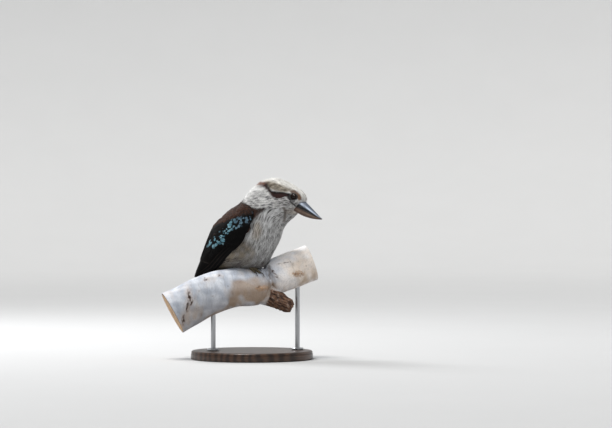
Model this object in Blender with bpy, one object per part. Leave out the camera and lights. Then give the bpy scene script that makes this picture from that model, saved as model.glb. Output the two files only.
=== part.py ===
"""Laughing kookaburra, life size, perched on a short cut length of pale gum branch that a plain display stand holds.

Row frame, metres: +X is the way the body faces, +Y its left side, +Z up. The origin is the centre of the stand's
underside, straight below the middle of the two feet. Shapes are set out in millimetres from the point between the feet
on top of the branch, and lifted by FEET_Z.
"""

import math

import bmesh
import bpy
import numpy as np
from mathutils import Matrix, Vector
from mathutils.bvhtree import BVHTree

for old in list(bpy.data.objects):
    bpy.data.objects.remove(old)

MM = 0.001
GAP = 0.4              # clear gap between neighbouring solids, mm
FEET_Z = 195.0         # height of the branch's crest under the feet, above the floor

# ---------------------------------------------------------------- body
RING = 24              # points round one body section
HEAD_TURN = 10.0       # the head looks this many degrees to the bird's right
TURN_X = 50.0          # the vertical axis of that turn

# One row for each section from the face to the tail root: back point (x, z), belly point (x, z), half width,
# share of the height at which it is widest, squareness, share of the head's turn.
BODY = (
    (128.5, 133.0, 102.0, 112.5, 13.5, 0.50, 2.0, 1.0),
    (126.0, 145.0, 96.5, 106.0, 19.5, 0.52, 2.3, 1.0),
    (115.5, 155.0, 90.0, 100.0, 25.0, 0.50, 2.5, 1.0),
    (96.0, 167.5, 82.5, 94.5, 30.0, 0.50, 2.5, 1.0),
    (73.5, 178.0, 75.0, 88.0, 33.0, 0.48, 2.4, 1.0),
    (49.0, 183.0, 68.5, 80.0, 35.0, 0.46, 2.2, 1.0),
    (25.0, 176.5, 63.5, 71.0, 36.5, 0.46, 2.15, 0.8),
    (8.0, 165.5, 60.5, 61.5, 39.0, 0.46, 2.1, 0.6),
    (-4.5, 153.0, 57.0, 52.0, 42.0, 0.46, 2.1, 0.4),
    (-15.5, 139.5, 52.5, 43.0, 45.0, 0.46, 2.1, 0.2),
    (-30.0, 126.5, 48.0, 34.0, 47.5, 0.46, 2.1, 0.0),
    (-47.5, 115.0, 41.5, 24.0, 48.5, 0.46, 2.1, 0.0),
    (-63.0, 100.5, 35.0, 12.0, 48.5, 0.47, 2.1, 0.0),
    (-74.5, 84.0, 26.0, 2.0, 47.5, 0.48, 2.1, 0.0),
    (-82.0, 67.5, 8.0, -3.5, 45.0, 0.50, 2.1, 0.0),
    (-88.5, 52.0, -14.5, -5.0, 40.5, 0.52, 2.1, 0.0),
    (-95.5, 37.5, -37.5, -7.0, 34.5, 0.55, 2.1, 0.0),
    (-101.5, 25.0, -60.0, -11.0, 27.0, 0.58, 2.1, 0.0),
    (-107.0, 12.5, -79.5, -15.5, 19.0, 0.60, 2.1, 0.0),
    (-111.0, 3.0, -95.0, -16.5, 10.0, 0.60, 2.1, 0.0),
)
RINGS = 36             # sections in the finished body
HEAD_END, NECK_END = 5.35, 8.6      # where the thin cuts part head, neck and trunk, in rows of BODY

# The envelope that the folded wings lie in, from the shoulders to the wing tips, same columns without the turn.
WINGS = (
    (5.0, 161.0, 88.0, 62.0, 42.0, 0.46, 2.1),
    (-17.5, 143.0, 78.0, 42.0, 50.0, 0.46, 2.1),
    (-34.0, 129.5, 70.0, 32.0, 54.0, 0.46, 2.1),
    (-52.0, 117.0, 60.0, 22.0, 55.5, 0.46, 2.1),
    (-68.5, 103.0, 50.0, 12.0, 55.5, 0.47, 2.1),
    (-81.0, 87.0, 38.0, 2.0, 54.0, 0.48, 2.1),
    (-89.5, 70.5, 18.0, -4.0, 51.0, 0.50, 2.1),
    (-96.5, 54.0, -8.0, -6.0, 47.5, 0.50, 2.1),
    (-103.0, 38.0, -32.0, -8.0, 43.0, 0.50, 2.1),
    (-110.0, 22.0, -54.0, -12.0, 38.0, 0.50, 2.1),
    (-117.0, 7.0, -74.0, -18.0, 33.0, 0.50, 2.1),
    (-124.0, -8.5, -94.0, -24.0, 28.0, 0.50, 2.1),
    (-130.0, -22.0, -112.0, -30.0, 22.0, 0.50, 2.1),
)
WING_THICK = (7.0, 3.2)             # at the shoulder and at the tip
WING_GAP, WING_LEAST, WING_APART = 0.7, 1.0, 1.6
WING_ROWS, WING_COLUMNS = 20, 11
# Outline of the folded right wing seen from the side: lower and front edge from the neck down to the tip ...
WING_FRONT = ((16.0, 128.0), (25.0, 118.0), (25.5, 103.0), (21.0, 87.0), (14.5, 72.0), (8.5, 57.0), (-3.5, 42.0),
              (-18.0, 29.0), (-34.0, 15.0), (-48.0, 3.0), (-66.0, -9.0), (-88.0, -18.5), (-108.0, -24.0), (-123.0, -28.0))
# ... and back along the upper edge, beside the mantle.
WING_BACK = ((-134.0, -22.0), (-129.0, -4.0), (-123.0, 12.0), (-116.0, 30.0), (-108.0, 48.0), (-98.0, 66.0),
             (-84.0, 81.0), (-66.0, 93.5), (-46.0, 106.0), (-24.0, 119.0), (-2.0, 129.0))

# ---------------------------------------------------------------- tail
TAIL_ROOT, TAIL_TIP = (-90.0, 42.0), (-161.0, -92.0)    # (x, z) of its middle line
TAIL_HALF = ((0.0, 12.0), (0.25, 15.5), (0.5, 20.5), (0.75, 26.5), (0.93, 27.0), (1.0, 21.0))   # share of length, half width
TAIL_THICK = (7.0, 3.0)
TAIL_ARCH = 5.0                     # the edges droop this far below the middle

# ---------------------------------------------------------------- bill and eyes, before the head's turn
CULMEN = ((128.0, 134.8), (136.8, 127.7), (146.4, 119.9), (156.4, 111.2), (165.0, 103.7), (172.0, 99.2))
TOMIUM = ((110.0, 127.5), (122.6, 122.2), (136.1, 116.1), (150.2, 109.2), (162.4, 103.2), (171.6, 98.9))
GONYS = ((102.5, 116.5), (115.0, 109.9), (128.5, 104.2), (144.0, 100.1), (158.0, 98.2), (169.5, 97.9))
BILL_HALF = (14.6, 12.4, 9.6, 6.8, 4.0, 1.0)            # half width at each of those six stations
EYE_R = 7.5
EYE_AT = (111.3, 14.1, 145.2)

# ---------------------------------------------------------------- branch
BRANCH_TURN = 34.0     # the branch's heading from +X, degrees
# along the branch, height, sideways, radius, from the sawn lower end to the broken stub
LIMB = (
    (-168.0, -98.0, 0.0, 46.5),
    (-143.0, -84.5, 0.0, 45.5),
    (-108.0, -66.0, 0.0, 44.3),
    (-71.0, -52.0, 0.0, 43.2),
    (-38.0, -45.2, 0.0, 42.2),
    (-12.0, -43.0, 0.0, 41.6),
    (8.0, -42.8, -0.5, 40.2),
    (20.0, -44.5, -1.5, 38.0),
    (28.0, -46.5, -2.5, 34.0),
    (33.0, -48.0, -3.0, 28.0),
    (36.5, -49.5, -3.5, 17.0),
)
# the dead stub under its end
STUB = (
    (6.0, -55.0, -3.0, 18.0),
    (22.0, -59.0, -5.0, 21.5),
    (38.0, -64.0, -8.0, 20.5),
    (54.0, -72.0, -12.0, 17.6),
    (66.0, -78.6, -15.0, 15.8),
    (75.5, -85.0, -17.5, 14.2),
    (81.0, -88.8, -18.7, 9.5),
)
# the living limb that leaves it, up to the other sawn end
SHOOT = (
    (35.0, -28.8, 5.4, 22.0),
    (39.5, -27.0, 5.7, 31.0),
    (45.0, -24.8, 6.0, 36.0),
    (53.0, -21.4, 6.3, 37.6),
    (66.0, -16.2, 6.5, 37.8),
    (88.0, -7.6, 7.0, 38.2),
    (128.0, 7.0, 7.0, 38.6),
)
LIMB_SEGS = 20
LIMB_RINGS, SHOOT_RINGS, STUB_RINGS = 19, 13, 10

# ---------------------------------------------------------------- stand
BASE_R, BASE_H, BASE_BEVEL = 128.0, 18.0, 3.0
ROD_R, ROD_FOOT_R, ROD_FOOT_H, ROD_DEPTH = 5.0, 13.0, 4.0, 16.0
ROD_AT = ((-82.0, 0.0), (98.0, 7.0))                    # along the branch, sideways

# ---------------------------------------------------------------- feet
FOOT_X = {1: -24.0, -1: 1.0}        # left, right
FOOT_Y = 17.5
TARSUS_TOP, TARSUS_LEAN, TARSUS_R = 24.0, -12.0, 3.3
# toe: heading from straight ahead (outwards is positive), length, radius at the root and at the claw's root, claw length
TOES = ((24.0, 20.0, 3.1, 2.3, 8.0), (4.0, 26.0, 3.4, 2.5, 9.5), (-14.0, 17.0, 3.0, 2.2, 7.5), (178.0, 14.0, 3.2, 2.4, 9.0))
TOE_SIDES, TOE_CLEAR = 6, 0.8
# room under the belly for a foot: distance ahead of it, half width, height above the bark
FOOT_ROOM = ((-28.0, 6.0, 5.0), (-22.0, 8.5, 7.5), (-10.0, 10.5, 10.0), (5.0, 12.5, 10.5), (18.0, 14.5, 8.5), (32.0, 16.0, 7.0), (44.0, 15.0, 5.0))


# ================================================================ helpers
def smooth_rows(rows, at):
    """Rows of numbers read at fractional indices, along a smooth curve through them."""
    rows = np.asarray(rows, float)
    out = []
    for t in at:
        i = min(int(math.floor(t)), len(rows) - 2)
        f = t - i
        p0 = rows[i - 1] if i > 0 else 2 * rows[0] - rows[1]
        p1, p2 = rows[i], rows[i + 1]
        p3 = rows[i + 2] if i + 2 < len(rows) else 2 * rows[-1] - rows[-2]
        out.append(0.5 * (2 * p1 + (p2 - p0) * f + (2 * p0 - 5 * p1 + 4 * p2 - p3) * f * f
                          + (3 * p1 - p0 - 3 * p2 + p3) * f ** 3))
    return np.array(out)


def section(bx, bz, vx, vz, half, widest, square, grow=0.0, n=RING):
    """One closed body section: points round it from the back, over the left side, to the belly and up the right."""
    back, belly = np.array([bx, 0, bz]), np.array([vx, 0, vz])
    up = (back - belly) / np.linalg.norm(back - belly)
    back, belly = back + up * grow, belly - up * grow
    height = np.linalg.norm(back - belly)
    mid = belly + up * height * widest
    pts = []
    for k in range(n):
        a = 2 * math.pi * k / n
        c, s = math.cos(a), math.sin(a)
        c = math.copysign(abs(c) ** (2 / square), c)
        s = math.copysign(abs(s) ** (2 / square), s)
        tall = height * (1 - widest) if c > 0 else height * widest
        pts.append(mid + up * tall * c + np.array([0, 1, 0]) * (half + grow) * s)
    return np.array(pts)


def turned(pts, share):
    """Points turned with the head about its vertical axis."""
    a = -math.radians(HEAD_TURN * share)
    x, y = pts[:, 0] - TURN_X, pts[:, 1]
    out = pts.copy()
    out[:, 0] = TURN_X + x * math.cos(a) - y * math.sin(a)
    out[:, 1] = x * math.sin(a) + y * math.cos(a)
    return out


def body_rings(start, end, count, grow=0.0, n=RING):
    rings = []
    for row in smooth_rows(BODY, np.linspace(start, end, count)):
        rings.append(turned(section(*row[:7], grow=grow, n=n), row[7]))
    return rings


def make(name, rings, tip_start=None, tip_end=None):
    """A closed mesh through a run of rings, with flat or pointed ends, in metres at its place above the floor."""
    bm = bmesh.new()
    loops = [[bm.verts.new(Vector(p)) for p in ring] for ring in rings]
    for a, b in zip(loops, loops[1:]):
        for k in range(len(a)):
            j = (k + 1) % len(a)
            bm.faces.new((a[k], a[j], b[j], b[k]))
    for loop, tip in ((loops[0], tip_start), (loops[-1], tip_end)):
        if tip is None:
            bm.faces.new(loop)
        else:
            point = bm.verts.new(Vector(tip))
            for k in range(len(loop)):
                bm.faces.new((loop[k], loop[(k + 1) % len(loop)], point))
    return finish(name, bm)


def finish(name, bm):
    bmesh.ops.triangulate(bm, faces=[f for f in bm.faces if len(f.verts) > 4])
    bmesh.ops.recalc_face_normals(bm, faces=bm.faces)
    bmesh.ops.scale(bm, vec=(MM, MM, MM), verts=bm.verts)
    bmesh.ops.translate(bm, vec=(0, 0, FEET_Z * MM), verts=bm.verts)
    mesh = bpy.data.meshes.new(name)
    bm.to_mesh(mesh)
    bm.free()
    obj = bpy.data.objects.new(name, mesh)
    bpy.context.scene.collection.objects.link(obj)
    return obj


def cutter(obj):
    obj.hide_render = True
    obj.display_type = "WIRE"
    return obj


def boolean(obj, other, operation):
    m = obj.modifiers.new(operation.lower(), "BOOLEAN")
    m.operation = operation
    m.solver = "EXACT"
    m.object = other


def paint(obj, color, roughness, metallic=0.0, angle=40.0):
    mat = bpy.data.materials.new(obj.name + "_mat")
    mat.use_nodes = True
    shader = mat.node_tree.nodes["Principled BSDF"]
    shader.inputs["Base Color"].default_value = (*color, 1.0)
    shader.inputs["Roughness"].default_value = roughness
    shader.inputs["Metallic"].default_value = metallic
    obj.data.materials.clear()
    obj.data.materials.append(mat)
    obj.data.shade_smooth()
    obj.data.set_sharp_from_angle(angle=math.radians(angle))
    return obj


# ================================================================ branch
def heading(along, side, z):
    """A point of the branch's own frame in the row's axes."""
    a = math.radians(BRANCH_TURN)
    return np.array([along * math.cos(a) - side * math.sin(a), along * math.sin(a) + side * math.cos(a), z])


def limb_lump(angle, along):
    """The wood isn't quite round: two slow swellings wander along it."""
    return 1 + 0.018 * math.sin(2 * angle + 0.022 * along) + 0.012 * math.sin(3 * angle - 0.031 * along + 1.0)


def limb_rings(rows, count, grow=0.0, segs=LIMB_SEGS):
    rows = smooth_rows(rows, np.linspace(0, len(rows) - 1, count))
    line = np.array([heading(r[0], r[2], r[1]) for r in rows])
    tangent = np.gradient(line, axis=0)
    tangent /= np.linalg.norm(tangent, axis=1)[:, None]
    rings = []
    for i, (p, t, r) in enumerate(zip(line, tangent, rows[:, 3])):
        side = np.cross([0, 0, 1], t)
        side /= np.linalg.norm(side)
        up = np.cross(t, side)
        ring = []
        for k in range(segs):
            a = 2 * math.pi * k / segs
            ring.append(p + (r * limb_lump(a, rows[i, 0]) + grow) * (side * math.sin(a) + up * math.cos(a)))
        rings.append(np.array(ring))
    return rings


def on_bark(x, y, above):
    """The point this high above the branch's surface, reached by laying the flat distance from its crest round it."""
    a = math.radians(BRANCH_TURN)
    along, side = x * math.cos(a) + y * math.sin(a), -x * math.sin(a) + y * math.cos(a)
    rows = smooth_rows(LIMB, np.linspace(0, len(LIMB) - 1, 160))
    z, off, r = (float(np.interp(along, rows[:, 0], rows[:, k])) for k in (1, 2, 3))
    slope = (np.interp(along + 4, rows[:, 0], rows[:, 1]) - np.interp(along - 4, rows[:, 0], rows[:, 1])) / 8
    angle = (side - off) / r
    reach = r * limb_lump(angle, along) + above
    return heading(along - slope * reach * math.cos(angle) * 0.3, off + reach * math.sin(angle),
                   z + reach * math.cos(angle) * math.sqrt(1 + slope * slope))


branch = make("perch_branch", limb_rings(LIMB, LIMB_RINGS))
shoot = cutter(make("shoot_join", limb_rings(SHOOT, SHOOT_RINGS)))
boolean(branch, shoot, "UNION")
boolean(branch, cutter(make("stub_join", limb_rings(STUB, STUB_RINGS, segs=14))), "UNION")
for i, (along, side) in enumerate(ROD_AT):
    x, y, _ = heading(along, side, 0)
    bm = bmesh.new()
    bmesh.ops.create_cone(bm, cap_ends=True, segments=16, radius1=ROD_R + 0.35, radius2=ROD_R + 0.35, depth=400)
    rows = LIMB if i == 0 else SHOOT
    z, off, r = (float(np.interp(along, [q[0] for q in rows], [q[k] for q in rows])) for k in (1, 2, 3))
    slope = math.atan(abs(np.interp(along + 4, [q[0] for q in rows], [q[1] for q in rows]) - z) / 4)
    under = z - r / math.cos(slope)
    top = under + ROD_DEPTH
    bmesh.ops.translate(bm, vec=(x, y, top + 0.35 - 200), verts=bm.verts)
    hole = cutter(finish(f"rod_hole_{i}", bm))
    boolean(branch, hole, "DIFFERENCE")
    bm = bmesh.new()
    floor_z = BASE_H + 0.3 - FEET_Z
    profile = ((0, floor_z), (ROD_FOOT_R - 1, floor_z), (ROD_FOOT_R, floor_z + 1), (ROD_FOOT_R, floor_z + ROD_FOOT_H - 1),
               (ROD_FOOT_R - 1, floor_z + ROD_FOOT_H), (ROD_R, floor_z + ROD_FOOT_H), (ROD_R, top - 1), (ROD_R - 1, top), (0, top))
    line = [bm.verts.new((p[0], 0, p[1])) for p in profile]
    edges = [bm.edges.new(pair) for pair in zip(line, line[1:])]
    bmesh.ops.spin(bm, geom=line + edges, cent=(0, 0, 0), axis=(0, 0, 1), angle=2 * math.pi, steps=16)
    bmesh.ops.remove_doubles(bm, verts=bm.verts, dist=0.001)
    bmesh.ops.translate(bm, vec=(x, y, 0), verts=bm.verts)
    rod = finish("stand_rod_" + ("lower", "upper")[i], bm)
    paint(rod, (0.55, 0.56, 0.58), 0.32, 1.0, 30)
paint(branch, (0.62, 0.60, 0.57), 0.75)

bm = bmesh.new()
profile = ((0, 0), (BASE_R - 1.5, 0), (BASE_R, 1.5), (BASE_R, BASE_H - BASE_BEVEL), (BASE_R - BASE_BEVEL * 0.3, BASE_H - BASE_BEVEL * 0.3),
           (BASE_R - BASE_BEVEL, BASE_H), (0, BASE_H))
line = [bm.verts.new((p[0], 0, p[1] - FEET_Z)) for p in profile]
edges = [bm.edges.new(pair) for pair in zip(line, line[1:])]
bmesh.ops.spin(bm, geom=line + edges, cent=(0, 0, 0), axis=(0, 0, 1), angle=2 * math.pi, steps=40)
bmesh.ops.remove_doubles(bm, verts=bm.verts, dist=0.001)
paint(finish("stand_base", bm), (0.05, 0.045, 0.04), 0.45, 0.0, 20)

# grown copies that trim what lies against the branch
near_branch = cutter(make("near_branch", limb_rings(LIMB, LIMB_RINGS, grow=GAP)))
near_shoot = cutter(make("near_shoot", limb_rings(SHOOT, SHOOT_RINGS, grow=GAP)))

# ================================================================ head, neck, trunk
per_row = RINGS / (len(BODY) - 1)
head = make("head", body_rings(0, HEAD_END, round(HEAD_END * per_row) + 1))
step = 0.045
neck = make("neck", body_rings(HEAD_END + step, NECK_END, round((NECK_END - HEAD_END) * per_row) + 1))
last = body_rings(len(BODY) - 1, len(BODY) - 1, 1)[0]
trunk = make("trunk", body_rings(NECK_END + step, len(BODY) - 1, round((len(BODY) - 1 - NECK_END) * per_row) + 1),
             tip_end=last.mean(0) + np.array([-3.0, 0, -4.0]))
boolean(trunk, near_branch, "DIFFERENCE")
boolean(trunk, near_shoot, "DIFFERENCE")
grown = body_rings(0, len(BODY) - 1, RINGS, grow=GAP)
near_body = cutter(make("near_body", [grown[0] + np.array([0.35, 0, -0.3])] + grown, tip_end=last.mean(0) + np.array([-3.6, 0, -4.8])))
paint(head, (0.66, 0.62, 0.55), 0.9)
paint(neck, (0.64, 0.62, 0.60), 0.9)
paint(trunk, (0.56, 0.54, 0.51), 0.9)

# ================================================================ tail
def tail_rings(count=10, grow=0.0):
    root, tip = np.array([TAIL_ROOT[0], 0, TAIL_ROOT[1]]), np.array([TAIL_TIP[0], 0, TAIL_TIP[1]])
    along = (tip - root) / np.linalg.norm(tip - root)
    out = np.cross([0, 1, 0], along)          # up and back, off the tail's upper face
    out = out if out[0] < 0 else -out
    rings = []
    for t in np.linspace(0, 1, count):
        half = float(np.interp(t, [h[0] for h in TAIL_HALF], [h[1] for h in TAIL_HALF]))
        thick = TAIL_THICK[0] * (1 - t) + TAIL_THICK[1] * t
        ring = []
        for face in (1, -1):
            for k in range(7):
                y = (k / 6 * 2 - 1) * face
                edge = math.sqrt(max(0.0, 1 - abs(y) ** 3)) * 0.5 + 0.08
                drop = TAIL_ARCH * y * y
                round_end = 7.0 * (1 - y * y) * max(0.0, (t - 0.8) / 0.2)
                ring.append(root + along * (np.linalg.norm(tip - root) * t + round_end) + np.array([0, 1, 0]) * y * (half + grow)
                            + out * (face * (thick * edge + grow) - drop))
        rings.append(np.array(ring))
    return rings


tail = make("tail", tail_rings())
near_tail = cutter(make("near_tail", tail_rings(grow=GAP)))
boolean(tail, near_body, "DIFFERENCE")
boolean(tail, near_branch, "DIFFERENCE")
paint(tail, (0.18, 0.09, 0.05), 0.6)

# ================================================================ wings
def share_inside(row, outline):
    """The part of a section's line, from back to belly, that lies inside a flat outline seen from the side."""
    a, b = np.array(row[:2]), np.array(row[2:4])
    found = []
    for p, q in zip(outline, outline[1:] + outline[:1]):
        d, e = b - a, np.subtract(q, p)
        cross = d[0] * e[1] - d[1] * e[0]
        if abs(cross) > 1e-9:
            w = np.subtract(p, a)
            t, u = (w[0] * e[1] - w[1] * e[0]) / cross, (w[0] * d[1] - w[1] * d[0]) / cross
            if 0 <= u < 1:
                found.append(t)
    return (min(found), max(found)) if len(found) > 1 else None


def at_share(row, share, grow=0.0):
    """The point on a section's left side this share of the way from its back to its belly."""
    bx, bz, vx, vz, half, widest, square = row[:7]
    back, belly = np.array([bx, 0, bz]), np.array([vx, 0, vz])
    up = (back - belly) / np.linalg.norm(back - belly)
    back, belly = back + up * grow, belly - up * grow
    height = np.linalg.norm(back - belly)
    rise = 1 - min(max(share, 0.0), 1.0) - widest
    c = rise / (1 - widest) if rise > 0 else rise / widest
    side = (1 - min(1.0, abs(c)) ** square) ** (1 / square)
    tall = height * (1 - widest) if c > 0 else height * widest
    return belly + up * height * widest + up * tall * c + np.array([0, 1, 0]) * (half + grow) * side


def wing_grid(rows_wanted=WING_ROWS, columns=WING_COLUMNS):
    """Points over the left wing's outer face, from the bend to the tip and from the upper edge to the lower one."""
    outline = [tuple(p) for p in WING_FRONT] + [tuple(p) for p in WING_BACK]
    spans = []
    for t in np.linspace(0, len(WINGS) - 1, 240):
        row = smooth_rows(WINGS, [t])[0]
        span = share_inside(row, outline)
        if span and span[1] - max(span[0], 0.0) > 0.08:
            spans.append((t, max(span[0], 0.0), min(span[1], 1.0)))
    spans = np.array(spans)
    grid = []
    for t in spans[0, 0] + (spans[-1, 0] - spans[0, 0]) * np.linspace(0, 1, rows_wanted) ** 1.0:
        row = smooth_rows(WINGS, [min(t, len(WINGS) - 1 - 1e-6)])[0]
        low, high = np.interp(t, spans[:, 0], spans[:, 1]), np.interp(t, spans[:, 0], spans[:, 2])
        # columns evenly spaced round the section, not down its height
        shares = np.linspace(low, high, 160)
        line = np.array([at_share(row, f) for f in shares])
        line[:, 1] = np.maximum(line[:, 1], WING_APART)
        run = np.concatenate([[0], np.cumsum(np.linalg.norm(np.diff(line, axis=0), axis=1))])
        grid.append([np.array([np.interp(v * run[-1], run, line[:, k]) for k in range(3)]) for v in np.linspace(0, 1, columns)])
    return np.array(grid)


def trees(*objects):
    graph = bpy.context.evaluated_depsgraph_get()
    found = []
    for obj in objects:
        bm = bmesh.new()
        bm.from_object(obj, graph)
        bmesh.ops.triangulate(bm, faces=bm.faces)
        found.append(BVHTree.FromBMesh(bm))
        bm.free()
    return found


def make_wing(name, sign, under):
    outer = wing_grid()
    rows, columns = outer.shape[:2]
    down, across = np.gradient(outer, axis=0), np.gradient(outer, axis=1)
    normal = np.cross(down, across)
    normal /= np.linalg.norm(normal, axis=2)[:, :, None]
    if normal[rows // 2, columns // 2, 1] < 0:
        normal = -normal
    inner = outer.copy()
    for i in range(rows):
        for k in range(columns):
            share = i / (rows - 1)
            thick = WING_THICK[0] * (1 - share) + WING_THICK[1] * share
            edge = min(1.0, 0.45 + 1.6 * min(k, columns - 1 - k) / (columns - 1) * 2, 0.5 + 2.0 * min(i, rows - 1 - i) / (rows - 1) * 2)
            thick *= edge
            p, n = outer[i, k], normal[i, k]
            room = thick
            for tree in under:
                # from well outside, down to the first thing that lies below this point
                start = p + n * 20.0
                hit = tree.ray_cast(Vector((start[0] * MM, start[1] * MM, start[2] * MM + FEET_Z * MM)), Vector(-n), (20.0 + thick + 2) * MM)
                if hit[0] is not None:
                    room = min(room, hit[3] / MM - 20.0 - WING_GAP)
            if room < WING_LEAST:
                outer[i, k] = p + n * (WING_LEAST - room)
                room = WING_LEAST
                inner[i, k] = outer[i, k] - n * WING_LEAST
            else:
                inner[i, k] = p - n * room
    rings = []
    for i in range(rows):
        ring = np.concatenate([outer[i], inner[i][::-1]])
        ring[:, 1] *= sign
        rings.append(ring)
    return make(name, rings)


for side, sign in (("left", 1), ("right", -1)):
    wing = make_wing(f"wing_{side}", sign, trees(near_body, near_tail))
    paint(wing, (0.05, 0.04, 0.035), 0.6)

# ================================================================ bill
def head_turned(points):
    return turned(np.array(points, float), 1.0)


def bill_half(name, top, bottom, upper):
    """One half of the bill: a section at each station, its ridge rounded, its cutting edges parallel."""
    stations = np.linspace(0, len(top) - 1, 13)
    top, bottom = smooth_rows(top, stations), smooth_rows(bottom, stations)
    halves = smooth_rows([[h] for h in BILL_HALF], stations)[:, 0]
    rings = []
    for (tx, tz), (bx, bz), w in zip(top, bottom, halves):
        flat, ridge = ((bx, bz), (tx, tz)) if upper else ((tx, tz), (bx, bz))
        ring = []
        for k in range(13):
            a = math.pi * k / 12
            c, s = math.cos(a), math.sin(a) ** 0.75
            y = w * math.copysign(abs(c) ** 0.85, c)
            ring.append((flat[0] + (ridge[0] - flat[0]) * s, y, flat[1] + (ridge[1] - flat[1]) * s))
        rings.append(head_turned(ring))
    return make(name, rings)


upper_bottom = [(x, z + 0.35) for x, z in TOMIUM]
lower_top = [(x, z - 0.35) for x, z in TOMIUM]
lower_bottom = [(x, min(z, t[1] - 1.4)) for (x, z), t in zip(GONYS, TOMIUM)]
for bill, color in ((bill_half("bill_upper", CULMEN, upper_bottom, True), (0.07, 0.07, 0.08)),
                    (bill_half("bill_lower", lower_top, lower_bottom, False), (0.42, 0.30, 0.24))):
    boolean(bill, near_body, "DIFFERENCE")
    paint(bill, color, 0.35, 0.0, 35)

# ================================================================ eyes
for side, sign in (("left", 1), ("right", -1)):
    at = head_turned([(EYE_AT[0], sign * EYE_AT[1], EYE_AT[2])])[0]
    for name, r in ((f"eye_{side}", EYE_R), (f"socket_{side}", EYE_R + 0.35)):
        bm = bmesh.new()
        bmesh.ops.create_uvsphere(bm, u_segments=12, v_segments=8, radius=r)
        bmesh.ops.rotate(bm, cent=(0, 0, 0), matrix=Matrix.Rotation(math.pi / 2, 3, "X"), verts=bm.verts)
        bmesh.ops.translate(bm, vec=at, verts=bm.verts)
        ball = finish(name, bm)
        if name.startswith("eye"):
            paint(ball, (0.02, 0.012, 0.01), 0.08)
        else:
            boolean(head, cutter(ball), "DIFFERENCE")

# ================================================================ legs and feet
def tube(name, points, radii, segs=10, point_end=False):
    points = np.array(points, float)
    tangent = np.gradient(points, axis=0)
    tangent /= np.linalg.norm(tangent, axis=1)[:, None]
    side = np.cross(tangent[0], [0.0, 1.0, 0.1])
    rings = []
    for p, t, r in zip(points, tangent, radii):
        side = side - t * (side @ t)
        side /= np.linalg.norm(side)
        other = np.cross(t, side)
        rings.append(np.array([p + r * (side * math.cos(2 * math.pi * k / segs) + other * math.sin(2 * math.pi * k / segs))
                               for k in range(segs)]))
    return make(name, rings, tip_end=points[-1] + tangent[-1] * radii[-1] if point_end else None)


def toe_path(side, heading_deg, length, r0, r1, claw):
    """The toe's middle line over the bark, then the claw's, which hooks down to it."""
    a = math.radians(heading_deg) * side

    def laid(d, above):
        return on_bark(FOOT_X[side] + math.cos(a) * d, side * FOOT_Y + math.sin(a) * d, above)

    toe = []
    for k in range(6):
        r = (r0 + (r1 - r0) * k / 5) * (1 + 0.10 * math.cos(math.pi * k))
        toe.append((laid(length * k / 5, r + TOE_CLEAR + (1.2 if k == 0 else 0)), r))
    toe.append((laid(length + 1.2, r1 * 0.75 + TOE_CLEAR + 0.3), r1 * 0.62))
    nail = []
    for k in range(5):
        f = k / 4
        r = r1 * 0.62 * (1 - f) + 0.42 * f
        nail.append((laid(length + 1.9 + claw * f, r + TOE_CLEAR + 0.7 + 1.5 * math.sin(math.pi * min(1.0, f * 1.1)) - 0.5 * f), r))
    return toe, nail


for side, sign in (("left", 1), ("right", -1)):
    ankle = on_bark(FOOT_X[sign] - 0.5, sign * FOOT_Y, 4.8)
    hock = np.array([FOOT_X[sign] + TARSUS_LEAN, sign * (FOOT_Y - 1.0), TARSUS_TOP])
    line = [ankle + (hock - ankle) * f for f in np.linspace(0, 1, 5)]
    foot = tube(f"foot_{side}", line, [TARSUS_R * k for k in (1.25, 1.0, 0.95, 1.0, 1.15)], 8)
    socket = cutter(tube(f"leg_socket_{side}", line + [hock + (hock - ankle) * 0.02], [TARSUS_R * 1.25 + 0.8] * 6, 10))
    boolean(trunk, socket, "DIFFERENCE")
    for i, spec in enumerate(TOES):
        toe, nail = toe_path(sign, *spec)
        boolean(foot, cutter(tube(f"toe_{side}_{i}", [p for p, _ in toe], [r for _, r in toe], TOE_SIDES)), "UNION")
        claw = tube(f"claw_{side}_{('outer', 'middle', 'inner', 'hind')[i]}", [p for p, _ in nail], [r for _, r in nail], TOE_SIDES - 1)
        paint(claw, (0.05, 0.045, 0.04), 0.35)
    rings = []
    for ahead, half, high in FOOT_ROOM:
        middle = on_bark(FOOT_X[sign] + ahead, sign * FOOT_Y, 0.0)
        up = on_bark(FOOT_X[sign] + ahead, sign * FOOT_Y, 1.0) - middle
        up /= np.linalg.norm(up)
        across = np.cross(up, [1.0, 0, 0])
        across /= np.linalg.norm(across)
        rings.append(np.array([middle + across * half * math.cos(2 * math.pi * k / 12) + up * high * math.sin(2 * math.pi * k / 12)
                               for k in range(12)]))
    boolean(trunk, cutter(make(f"foot_room_{side}", rings)), "DIFFERENCE")
    paint(foot, (0.28, 0.26, 0.22), 0.7)
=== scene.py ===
import math

import bmesh
import bpy
import numpy as np
from mathutils import Matrix, Vector, noise
from mathutils.bvhtree import BVHTree
from mathutils.kdtree import KDTree


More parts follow.
